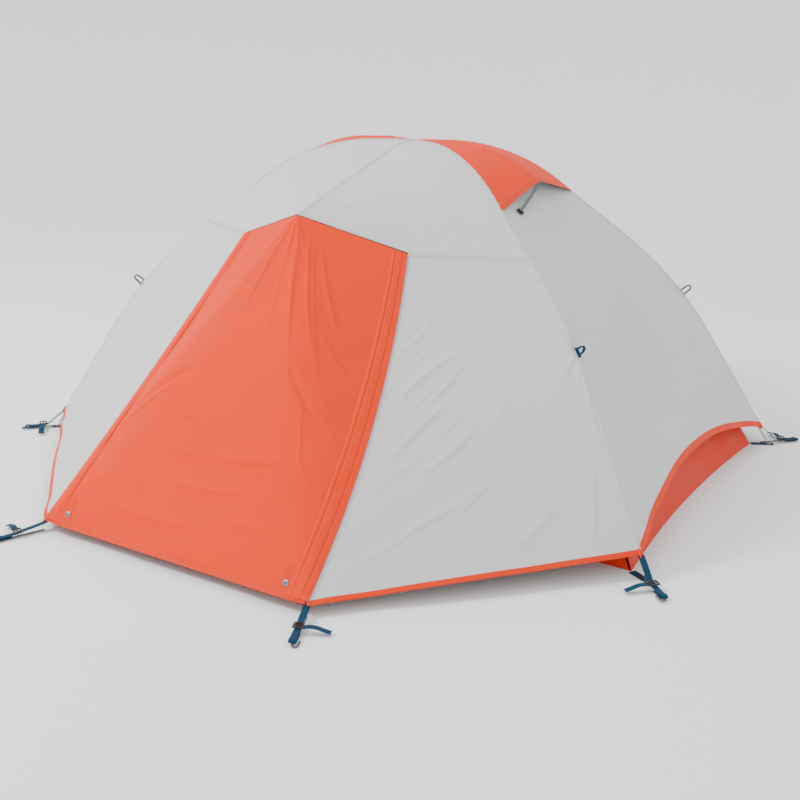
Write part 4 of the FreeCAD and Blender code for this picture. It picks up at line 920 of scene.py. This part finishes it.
def hood_relief(u, v, place):
    across = lengths(place, 0)
    calm = calmed(u, v, 0.06, 0.1)
    tuck = pucker(lengths(place, 1), across, 0.033, 0.0008, 0.024, 0.2)
    return tuck + calm * (ripple(place, 0.35, 0.0012)
                          + 0.0022 * np.exp(-((u - 0.5) / 0.035) ** 2) * rise(v, 0.5))


def fly_panels():
    for face, sy in FACES:
        surface = roof_patch(sy)
        mesh = Mesh()
        cloth(mesh, surface, spread(-0.998, 0.998, 181, 0.3), spread(0.004, 0.999, 110, 0.4),
              roof_relief(surface))
        finished(mesh, "fly_roof_cloth_" + face, ("grey_cloth",), "rain_fly",
                 ["fly_roof_" + face])
        for side, sx in SIDES:
            surface = side_patch(sx, sy)
            mesh = Mesh()
            cloth(mesh, surface, spread(0.001, 0.999, 150, 0.4), spread(0.001, 1.0, 190, 0.3),
                  side_relief(surface, sx, sy))
            finished(mesh, "fly_side_cloth_" + face + "_" + side, ("grey_cloth",), "rain_fly",
                     ["fly_side_" + face + "_" + side])
    for side, sx in SIDES:
        surface = end_patch(sx)
        mesh = Mesh()
        cloth(mesh, surface, spread(0.001, 0.999, 190, 0.4), spread(0.0, 1.0, 170, 0.2),
              end_relief(surface))
        finished(mesh, "fly_end_cloth_" + side, ("grey_cloth",), "rain_fly",
                 ["fly_end_" + side])


def hoods():
    for side, sx in SIDES:
        surface = hood_patch(sx)
        mesh = Mesh()
        us, vs = spread(*HOOD_REACH_U, 121, 0.4), np.linspace(*HOOD_REACH_V, 90)
        cloth(mesh, surface, us, vs, hood_relief, face=HOOD_FACE, look=0, under=1)
        cloth(mesh, surface, us, np.linspace(*HOOD_TAPE_V, 8), hood_relief,
              face=HOOD_FACE - CLOTH - HOOD_TAPE_GAP, thick=TAPE, look=2)
        cloth(mesh, surface, np.linspace(*HOOD_EDGE_U, 90), np.linspace(*HOOD_EDGE_V, 7), hood_relief,
              face=HOOD_FACE + HOOD_EDGE_UP, thick=TAPE, look=3)
        made = finished(mesh, "vent_hood_cloth_" + side, HOOD_LOOKS, "rain_fly",
                        ["vent_hood_" + side])
        tuple(end_surface(sx, HOOD_Q, 0.0))
        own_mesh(made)


def doors():
    for face, sy in FACES:
        surface = door_patch(sy)
        relief = door_relief(surface, sy)
        mesh = Mesh()
        cloth(mesh, surface, spread(-DOOR_REACH_U, DOOR_REACH_U, 261, 0.25),
              spread(0.003, 1.0, 220, 0.15), relief)
        made = finished(mesh, "fly_door_cloth_" + face, ("orange_cloth",), None,
                        ["fly_door_" + face])
        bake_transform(made)
        mesh = Mesh()
        for side in (-1, 1):
            door_band(mesh, surface, side)
        made = finished(mesh, "storm_flap_bands_" + face, ("orange_cloth", "orange_seam"), None,
                        ["storm_flaps_" + face])
        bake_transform(made)
        mesh = Mesh()
        cloth(mesh, surface, spread(-DOOR_HEM_U, DOOR_HEM_U, 180, 0.2), np.linspace(*DOOR_HEM_V, 6),
              relief, face=DOOR_HEM_UP, thick=TAPE)
        for side in (-1, 1):
            patch_u = np.linspace(*PATCH_U, 20) * side
            cloth(mesh, surface, np.sort(patch_u), np.linspace(*PATCH_V, 16), relief, face=PATCH_UP,
                  thick=PATCH_THICK, look=1)
        finished(mesh, "door_hem_" + face, ("binding", "orange_seam"), "fly_door_" + face,
                 ["door_binding_" + face])
        studs = Mesh()
        for side in (-1, 1):
            u, v = np.array(STUD_U * side), np.array(STUD_V)
            at, out = surface(u, v), outward(surface, u, v)
            lathe(studs, at + out * STUD_UP, out, STUD_PROFILE, look=0)
            lathe(studs, at + out * STUD_UP, out, STUD_MIDDLE, look=1)
        finished(studs, "door_studs_" + face, ("zip_metal", "blue_stud"), "fly_door_" + face,
                 ["door_snaps_" + face], sharp=40.0)


def door_band(mesh, surface, side):
    """Zip cover along one side of a door: a full fold, a sewn groove and a flat outer lip."""
    us, vs = np.linspace(*BAND_U, 27), np.linspace(*BAND_V, 170)
    share = (us - us[0]) / (us[-1] - us[0])
    profile = 0.0012 + 0.0040 * rise(share, 0.12) * (1 - 0.75 * np.exp(-((share - 0.22) / 0.045) ** 2))
    profile = profile - 0.0030 * np.exp(-((share - 0.70) / 0.04) ** 2) - 0.0010 * rise(share - 0.72, 0.1)

    def relief(u, v, place):
        down = lengths(place, 1)
        wave = 0.0007 * swaying(down, 0.019, 1.4, 0.11) * np.sin(math.pi * share)[:, None]
        return profile[:, None] + wave
    cloth(mesh, surface, us * side, vs, relief, thick=BAND_THICK)


def pole_seam(mesh, sx, sy):
    """Gathered seam where a roof, a side and an end panel meet over a pole."""
    q = np.concatenate([np.linspace(0.012, SEAM_AT, 110), np.linspace(SEAM_AT, 0.999, 140)[1:]])
    middle = pole_point(sx, sy, q)
    along = unit(np.gradient(middle, axis=0))
    end_up = outward(lambda a, b: end_surface(sx, a, b), q, np.full(q.shape, float(sy)))
    upper = outward(roof_patch(sy), np.clip(q / SEAM_AT, 0.02, 0.99) * sx, np.full(q.shape, 0.02))
    lower = outward(side_patch(sx, sy), np.full(q.shape, 0.985),
                    np.clip((q - SEAM_AT) / (1 - SEAM_AT), 0.01, 0.99))
    side_up = np.where((q < SEAM_AT)[:, None], upper, lower)
    hand = sx * sy
    run = lengths(middle[None], 1)[0]
    gather = 1.0 + 0.35 * np.sin(run / 0.0045) * np.sin(run / 0.031)
    lift = (0.0017 + 0.0024 * rise(HOOD_Q - q, 0.02)) * gather
    taped(mesh, middle, np.cross(along, side_up) * -hand, np.cross(along, end_up) * hand,
          side_up, end_up, lift=lift[:, None])


def seams():
    for face, sy in FACES:
        roof = roof_patch(sy)
        for side, sx in SIDES:
            mesh = Mesh()
            pole_seam(mesh, sx, sy)
            cloth(mesh, side_patch(sx, sy), np.linspace(*SIDE_SEAM_U, 6), spread(*SIDE_SEAM_V, 160, 0.1),
                  face=SIDE_SEAM_UP, thick=TAPE)
            finished(mesh, "pole_seam_" + face + "_" + side, ("grey_seam",), "rain_fly")
            mesh = Mesh()
            cloth(mesh, across_down(side_patch(sx, sy)), np.linspace(*TOP_SEAM_V, 6),
                  spread(*TOP_SEAM_U, 90, 0.1), face=TOP_SEAM_UP, thick=TAPE)
            finished(mesh, "roof_seam_" + face + "_" + side, ("grey_seam",), "rain_fly")
        mesh = Mesh()
        cloth(mesh, roof, np.linspace(*RIDGE_SEAM_U, 9), np.linspace(*RIDGE_SEAM_V, 120),
              face=ROOF_SEAM_UP)
        cloth(mesh, across_down(roof), np.linspace(0.984, 1.003, 7), spread(-0.999, 0.999, 161, 0.1),
              face=ROOF_SEAM_UP, thick=ROOF_SEAM_UP)
        finished(mesh, "roof_edge_seams_" + face, ("grey_seam",), "rain_fly")
    cap = Mesh()
    lathe(cap, np.array((0.0, 0.0, TOP_Z + 0.0012)), (0, 0, 1), APEX_PROFILE)
    finished(cap, "apex_patch", ("grey_seam",), "rain_fly")


def across_down(surface):
    """A surface with its two parameters exchanged, so that a strip's length runs across it."""
    return lambda u, v: surface(v, u)


def hems():
    mesh = Mesh()
    for face, sy in FACES:
        for side, sx in SIDES:
            surface = side_patch(sx, sy)
            hem_roll(mesh, surface, side_relief(surface, sx, sy), SIDE_HEM, SIDE_HEM_U)
    for side, sx in SIDES:
        surface = end_patch(sx)
        hem_roll(mesh, surface, end_relief(surface), END_HEM, END_HEM_U)
    finished(mesh, "fly_hem_band", ("binding",), "rain_fly", ["fly_hem_binding"])


def hem_roll(mesh, surface, relief, share, reach):
    """Orange binding folded round a panel's lower edge."""
    us, vs = spread(*reach, 170, 0.3), np.linspace(1.0 - share, 1.003, 8)
    u, v = np.meshgrid(us, vs, indexing="ij")
    place, normal = surface(u, v), outward(surface, u, v)
    edge = relief(np.clip(u, 0, 1), np.clip(v, 0, 1), place)[:, -1:]
    crown = 0.0007 * np.sqrt(np.maximum(1.0 - ((vs - vs.mean()) / (vs[-1] - vs.mean())) ** 2, 0.0))
    top = place + normal * (edge + 0.0012 + crown)[..., None]
    bottom = place + normal * (edge - 0.0024 - crown)[..., None]
    uv = np.stack([lengths(top, 1), lengths(top, 0)], -1)
    mesh.sheet(top, bottom, uv=uv)


# ---------------------------------------------------------------- inner tent
def tub_half(z):
    r = FLOOR_R - z / math.tan(LOWER_SLOPE)
    return r * CORNER_X / CORNER_R, r * CORNER_Y / CORNER_R


def tub_end(sx):
    """Tub wall at one end: u across, v up."""
    def point(u, v):
        x, y = tub_half(np.asarray(v) * TUB_HEIGHT)
        t = 2.0 * np.asarray(u, float) - 1.0
        return vec(sx * (x - TUB_BOW_X * (1 - t * t)), y * t, np.asarray(v) * TUB_HEIGHT)
    return point


def tub_side(sy):
    def point(u, v):
        x, y = tub_half(np.asarray(v) * TUB_HEIGHT)
        t = 2.0 * np.asarray(u, float) - 1.0
        return vec(x * t, sy * (y - TUB_BOW_Y * (1 - t * t)), np.asarray(v) * TUB_HEIGHT)
    return point


def floor_surface(u, v):
    """Floor sheet between the drawn-in edges of the tub."""
    s, t = 2.0 * np.asarray(u, float) - 1.0, 2.0 * np.asarray(v, float) - 1.0
    return vec(s * (FLOOR_X - TUB_BOW_X * (1 - t * t)), t * (FLOOR_Y - TUB_BOW_Y * (1 - s * s)), 0.002)


def tub_relief(u, v, place):
    across, up = lengths(place, 0), lengths(place, 1)
    slack = rise(v, 0.25) * rise(1 - v, 0.2) * rise(u, 0.03) * rise(1 - u, 0.03)
    return (slack * 0.0026 * np.sin(across / 0.041 + 1.9 * np.sin(across / 0.16) + up * 9.0)
            + pucker(across, up, 0.028, 0.0006, 0.02, 0.6))


def tub():
    mesh = Mesh()
    # The floor sheet and the tub walls take the darker orange that paints the fly's shadow on them.
    u, v = np.meshgrid(np.linspace(0, 1, 120), np.linspace(0, 1, 80), indexing="ij")
    top = floor_surface(u, v)
    top[..., 2] += 0.0004 * np.sin(top[..., 0] * 47.0) * np.sin(top[..., 1] * 39.0)
    mesh.sheet(top, top - vec(0, 0, CLOTH))
    finished(mesh, "floor_sheet", ("shaded_floor_cloth",), "inner_tent", ["tub_floor"])
    for name, walls in (("tub_ends", (tub_end(-1), tub_end(1))), ("tub_sides", (tub_side(-1), tub_side(1)))):
        mesh = Mesh()
        for wall in walls:
            cloth(mesh, wall, spread(0.003, 0.997, 190, 0.3), np.linspace(0.016, 1.0, 24), tub_relief)
            cloth(mesh, across_down(wall), np.linspace(0.958, 1.0, 4), np.linspace(0.004, 0.996, 120),
                  face=0.0011, look=1)
        finished(mesh, name, ("shaded_floor_cloth", "orange_seam"), "inner_tent")


def wall_relief(u, v, place):
    down, across = lengths(place, 1), lengths(place, 0)
    calm = calmed(u, v - CROWN_Q, 0.1, 0.1)
    return calm * ripple(place, 0.35, 0.0018) + pucker(down, across, 0.03, 0.0007, 0.03, 0.4)


def inner_walls():
    """Grey cloth above, netting above the tub, and a bound door opening on each side."""
    mesh = Mesh()
    for _, sx in SIDES:
        wall = inner_end(sx)
        cloth(mesh, wall, spread(0.010, 0.990, 60), np.linspace(CROWN_Q + 0.01, INNER_NET_FROM, 50),
              wall_relief)
        cloth(mesh, wall, spread(0.010, 0.990, 60), np.linspace(INNER_NET_FROM + 0.002, TUB_TOP_V, 50),
              wall_relief, look=1)
        cloth(mesh, across_down(wall), np.linspace(INNER_NET_FROM - 0.006, INNER_NET_FROM + 0.008, 4),
              np.linspace(0.012, 0.988, 60), face=0.001, look=2)
    finished(mesh, "inner_end_cloth", ("inner_cloth", "netting", "grey_seam"), "inner_tent",
             ["inner_end_walls"])
    low, high = (1 - DOOR_T) / 2 - 0.006, (1 + DOOR_T) / 2 + 0.006
    for face, sy in FACES:
        wall = inner_side(sy)
        mesh = Mesh()
        for start, stop in ((0.006, low - 0.001), (high + 0.001, 0.994)):
            cloth(mesh, wall, spread(start, stop, 40), np.linspace(CROWN_Q, TUB_TOP_V, 80), wall_relief)
        cloth(mesh, wall, spread(low, high, 30), np.linspace(CROWN_Q, DOOR_Q[0] - 0.008, 24), wall_relief)
        cloth(mesh, wall, spread(low, high, 30), np.linspace(DOOR_Q[1] + 0.008, TUB_TOP_V, 8))
        finished(mesh, "inner_side_cloth_" + face, ("inner_cloth",), "inner_tent",
                 ["inner_side_wall_" + face])
        mesh = Mesh()
        edge = (1 - DOOR_T) / 2
        cloth(mesh, wall, spread(edge, 1 - edge, 40), np.linspace(*DOOR_Q, 60), wall_relief, look=0)
        for start in (edge, 1 - edge - 0.014):
            cloth(mesh, wall, np.linspace(start, start + 0.014, 4), np.linspace(*DOOR_Q, 60), face=0.0008,
                  thick=0.0028, look=1)
        finished(mesh, "inner_door_cloth_" + face, ("netting", "grey_seam"), "inner_door_" + face,
                 ["inner_door_" + face])


def inner_details():
    mesh = Mesh()
    for _, sx in SIDES:
        for low in POCKETS_AT:
            wall = inner_end(sx)
            us = np.linspace(low, low + POCKET_WIDE, 24)
            cloth(mesh, wall, us, np.linspace(*POCKET_V, 14), face=POCKET_IN, look=0)
            cloth(mesh, across_down(wall), np.linspace(*POCKET_TAPE_V, 3), us, face=POCKET_TAPE_IN,
                  thick=POCKET_TAPE_THICK, look=1)
    finished(mesh, "pocket_nets", ("netting", "grey_seam"), "inner_tent",
             ["wall_pockets"])
    low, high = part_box("inner_crown")
    mesh = Mesh()
    u, v = np.meshgrid(np.linspace(low.x, high.x, 25), np.linspace(low.y, high.y, 17), indexing="ij")
    top = vec(u, v, low.z + 0.0015 + 0.0006 * np.cos(u * 60) * np.cos(v * 90))
    mesh.sheet(top, top - vec(0, 0, 0.0012))
    ribbon(mesh, [(0, 0, low.z + 0.001), (0, 0, (low.z + high.z) / 2), (0, 0, high.z)], (1, 0, 0), 0.016,
           0.0020, look=1)
    finished(mesh, "crown_patch", ("inner_cloth", "tape"), "inner_tent",
             ["inner_crown"])
    mesh = Mesh()
    for sx, sy in QUARTERS:
        corner_tab(mesh, np.array((sx * CORNER_X, sy * CORNER_Y, 0.0)) / CORNER_R)
    finished(mesh, "corner_webbing", ("webbing",), "inner_tent", ["corner_tabs"])


def corner_tab(mesh, along):
    """Webbing tab on the ground with a round hole for the pole's tip."""
    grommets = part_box("corner_grommets")[1]
    middle = math.hypot(grommets.x - GROMMET_R, grommets.y - GROMMET_R)
    across = np.cross((0, 0, 1), along)
    turn = np.linspace(0.0, 2 * math.pi, 65)
    inner_end_at, outer_end_at = middle - FLOOR_R - 0.002, 2 * GROMMET_R
    reach = np.minimum(TAB_WIDTH / 2 / np.maximum(np.abs(np.sin(turn)), 1e-6),
                       np.where(np.cos(turn) > 0, outer_end_at, inner_end_at)
                       / np.maximum(np.abs(np.cos(turn)), 1e-6))
    way = along * np.cos(turn)[:, None] + across * np.sin(turn)[:, None]
    out = np.linspace(0.0, 1.0, 8)[None, :, None]
    top = along * middle + way[:, None, :] * (TAB_HOLE_R + (reach[:, None, None] - TAB_HOLE_R) * out)
    top = top + vec(0, 0, TAB_THICK)
    mesh.sheet(top, top - vec(0, 0, TAB_THICK - 0.0002))


# ---------------------------------------------------------------- zips, loops and straps
def zips():
    """Zip tapes with their coils: beside each fly door and beside each inner door."""
    fly = [(side_patch(sx, sy), *FLY_ZIP_U, *FLY_ZIP_V) for sx, sy in QUARTERS]
    inner = [(inner_side(sy), low, low + INNER_ZIP_U, *DOOR_Q) for _, sy in FACES
             for low in ((1 - DOOR_T) / 2 - 0.018, (1 + DOOR_T) / 2 + 0.006)]
    for name, node, body, runs in (("fly_zips", "fly_zip_tapes", "rain_fly", fly),
                                   ("inner_zips", "inner_zip_tapes", "inner_tent", inner)):
        mesh = Mesh()
        for surface, u0, u1, v0, v1 in runs:
            cloth(mesh, surface, np.linspace(u0, u1, 5), np.linspace(v0, v1, 120), face=-ZIP_DEPTH)
            zip_coil(mesh, surface, (u0 + u1) / 2, v0, v1)
        finished(mesh, name, ("tape", "black_plastic"), body, [node])


def zip_coil(mesh, surface, u, v0, v1):
    """Coil of a zip: a row of small beads along its middle line."""
    vs = np.linspace(v0, v1, COIL_BEADS)
    place = surface(np.full(COIL_BEADS, u), vs)
    normal = outward(surface, np.full(COIL_BEADS, u), vs)
    along = unit(np.gradient(place, axis=0))
    side = np.cross(normal, along)
    swell = np.where(np.arange(COIL_BEADS) % 2, COIL_WIDE, COIL_NARROW)[:, None]
    top = np.stack([place + normal * (h - ZIP_DEPTH) + side * (w * swell / COIL_WIDE)
                    for w, h in COIL_PROFILE])
    mesh.sheet(top, top - normal * 0.0008, look=1)


def vent_nets():
    mesh = Mesh()
    for _, sx in SIDES:
        cloth(mesh, vent_patch(sx), np.linspace(*VENT_NET_U, 60), np.linspace(0.0, 1.0, 24),
              face=VENT_NET_IN)
    finished(mesh, "vent_net", ("vent_netting",), "rain_fly", ["vent_meshes"])


def tie_outs():
    """Doubled webbing loops that stand up from the pole seams."""
    mesh = Mesh()
    for sx, sy in QUARTERS:
        here = pole_point(sx, sy, TIE_OUT_AT)
        down = pole_point(sx, sy, TIE_OUT_AT + 0.01) - pole_point(sx, sy, TIE_OUT_AT - 0.01)
        down /= np.linalg.norm(down)
        across = np.cross((0, 0, 1), np.array((sx * CORNER_X, sy * CORNER_Y, 0.0)) / CORNER_R)
        out = np.cross(across, down)
        out = out if out[2] > 0 else -out
        ribbon(mesh, [here + out * h + down * d for h, d in TIE_LOOP], across, TIE_WIDE, TIE_THICK)
        ribbon(mesh, [here + out * TIE_FOOT_UP + down * d for d in TIE_FOOT], across, TIE_FOOT_WIDE,
               TIE_FOOT_THICK, samples=12)
    finished(mesh, "tie_out_loops", ("webbing",), "rain_fly", ["tie_out_tabs"])


def stake_corners():
    """Hem corner, outward and sideways directions of each staked corner."""
    for sx, sy in QUARTERS:
        for corner, turn, hand in ((pole_point(sx, sy, 1.0), BODY_STAKE_TURN, sx * sy),
                                   (np.array(corner_points(sx, sy)["vest"]), VEST_STAKE_TURN, -sx * sy)):
            out = np.array((sx * math.cos(turn), sy * math.sin(turn), 0.0))
            yield corner, out, np.cross((0, 0, 1), out) * hand


def straps():
    mesh = Mesh()
    for corner, out, across in stake_corners():
        ground = corner * (1, 1, 0)
        top = corner[2] - 0.009
        line = [(-0.010, top + 0.006), (0.004, top + 0.002), (0.030, top * 0.62 + 0.007), (0.064, 0.0175),
                (0.092, 0.0135), (0.128, 0.0125)]
        ribbon(mesh, [ground + out * u + (0, 0, z) for u, z in line], across, STRAP_WIDTH, STRAP_THICK,
               cup=STRAP_CUP)
        ribbon(mesh, [ground + out * u + (0, 0, z) for u, z in STRAP_LOOP], across, STRAP_WIDTH, STRAP_THICK)
        ribbon(mesh, [ground + out * STRAP_TAIL_AT + across * u + (0, 0, z) for u, z in STRAP_TAIL], out,
               STRAP_WIDTH, STRAP_THICK, cup=STRAP_TAIL_CUP)
    finished(mesh, "strap_webbing", ("webbing",), "rain_fly", ["corner_straps"])


# ---------------------------------------------------------------- the CAD's own parts
KEPT = (                             # start of the node's name, material, slot, bevel
    ("main_pole", "aluminium", "pole_aluminium", 0.0),
    ("ridge_pole", "aluminium", "pole_aluminium", 0.0),
    ("pole_ferrules", "aluminium", "pole_aluminium", 0.0004),
    ("pole_tips", "steel", "steel", 0.0003),
    ("shock_cords", "elastic", "elastic_cord", 0.0),
    ("pole_hub", "black_plastic", "black_plastic", 0.0012),
    ("pole_clips", "black_plastic", "black_plastic", 0.0005),
    ("gear_loop", "tape", "webbing", 0.0),
    ("corner_grommets", "steel", "steel", 0.0005),
    ("strap_adjusters", "black_plastic", "black_plastic", 0.0009),
    ("strut_mounts", "black_plastic", "black_plastic", 0.0005),
    ("vent_strut_left", "grey_plastic", "grey_plastic", 0.0005),
    ("vent_strut_right", "grey_plastic", "grey_plastic", 0.0005),
    ("fly_slider", "zip_metal", "zip_metal", 0.0007),
    ("inner_zip_sliders", "zip_metal", "zip_metal", 0.0007),
    ("stake_", "stake_wire", "stake_wire", 0.0),
)


def dress_nodes():
    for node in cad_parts:
        for start, look, slot, bevel in KEPT:
            made = bpy.data.objects[node]
            if not node.startswith(start) or made.hide_render:
                continue
            made.data.materials.clear()
            made.data.materials.append(LOOKS[look])
            if bevel:
                edge = made.modifiers.new("Bevel", "BEVEL")
                edge.width, edge.segments, edge.limit_method = bevel, 2, "ANGLE"


# ---------------------------------------------------------------- room and camera
CAMERA_TURN, CAMERA_RISE, CAMERA_ROLL = math.radians(31.526), math.radians(18.407), math.radians(0.498)
CAMERA_DISTANCE, CAMERA_LENS, CAMERA_SENSOR = 4.146, 50.82, 36.0
STUDIO_R, STUDIO_FLAT, STUDIO_WALL = 16.0, 5.0, 14.0
STUDIO_WHITE, WORLD_LIGHT = (0.95, 0.95, 0.95, 1.0), 1.25
LOOK_AT = np.array((0.0152, -0.0852, 0.1662))
LAMPS = (                            # name, place, size, power
    ("key", (-3.6, -3.2, 4.6), 1.3, 300.0),
    ("fill", (4.6, -4.0, 2.6), 4.5, 18.0),
    ("top", (0.5, 1.5, 6.0), 3.0, 50.0),
)


def camera():
    back = np.array((math.sin(CAMERA_TURN) * math.cos(CAMERA_RISE),
                     -math.cos(CAMERA_TURN) * math.cos(CAMERA_RISE), math.sin(CAMERA_RISE)))
    right = np.cross(-back, (0, 0, 1))
    right /= np.linalg.norm(right)
    up = np.cross(right, -back)
    turn = (right * math.cos(CAMERA_ROLL) + up * math.sin(CAMERA_ROLL),
            up * math.cos(CAMERA_ROLL) - right * math.sin(CAMERA_ROLL), back)
    place = Matrix.Identity(4)
    for k, axis in enumerate((*turn, LOOK_AT + back * CAMERA_DISTANCE)):
        for row in range(3):
            place[row][k] = axis[row]
    made = bpy.data.objects.new("camera", bpy.data.cameras.new("camera"))
    made.data.lens = CAMERA_LENS
    made.data.sensor_width = CAMERA_SENSOR
    made.matrix_world = place
    bpy.context.collection.objects.link(made)
    bpy.context.scene.camera = made


def lamp(name, place, size, power):
    """Square soft light that faces the tent."""
    light = bpy.data.lights.new(name, "AREA")
    light.size, light.energy = size, power
    made = bpy.data.objects.new(name, light)
    made.location = place
    aim = -Vector(place)
    aim.z += TOP_Z / 2
    made.rotation_euler = aim.to_track_quat("-Z", "Y").to_euler()
    bpy.context.collection.objects.link(made)


def studio():
    mesh = Mesh()
    turn, reach = np.meshgrid(np.linspace(0.0, 2 * math.pi, 97), np.linspace(0.0, STUDIO_R, 60),
                              indexing="ij")
    top = vec(reach * np.cos(turn), reach * np.sin(turn), STUDIO_WALL * rise(reach - STUDIO_FLAT, STUDIO_R))
    mesh.grid(top, np.stack([reach * np.cos(turn), reach * np.sin(turn)], -1))
    look = Look("floor", Base_Color=STUDIO_WHITE, Roughness=0.9)
    floor = mesh.piece("floor", [look.material], 50.0)
    for listed in LAMPS:
        lamp(*listed)
    world = bpy.data.worlds.new("world")
    world.use_nodes = True
    sky = world.node_tree.nodes["Background"].inputs
    sky["Color"].default_value = (1.0, 1.0, 1.0, 1.0)
    sky["Strength"].default_value = WORLD_LIGHT
    bpy.context.scene.world = world


fly_panels()
hoods()
doors()
seams()
hems()
tub()
inner_walls()
inner_details()
zips()
vent_nets()
tie_outs()
straps()
dress_nodes()
camera()
studio()
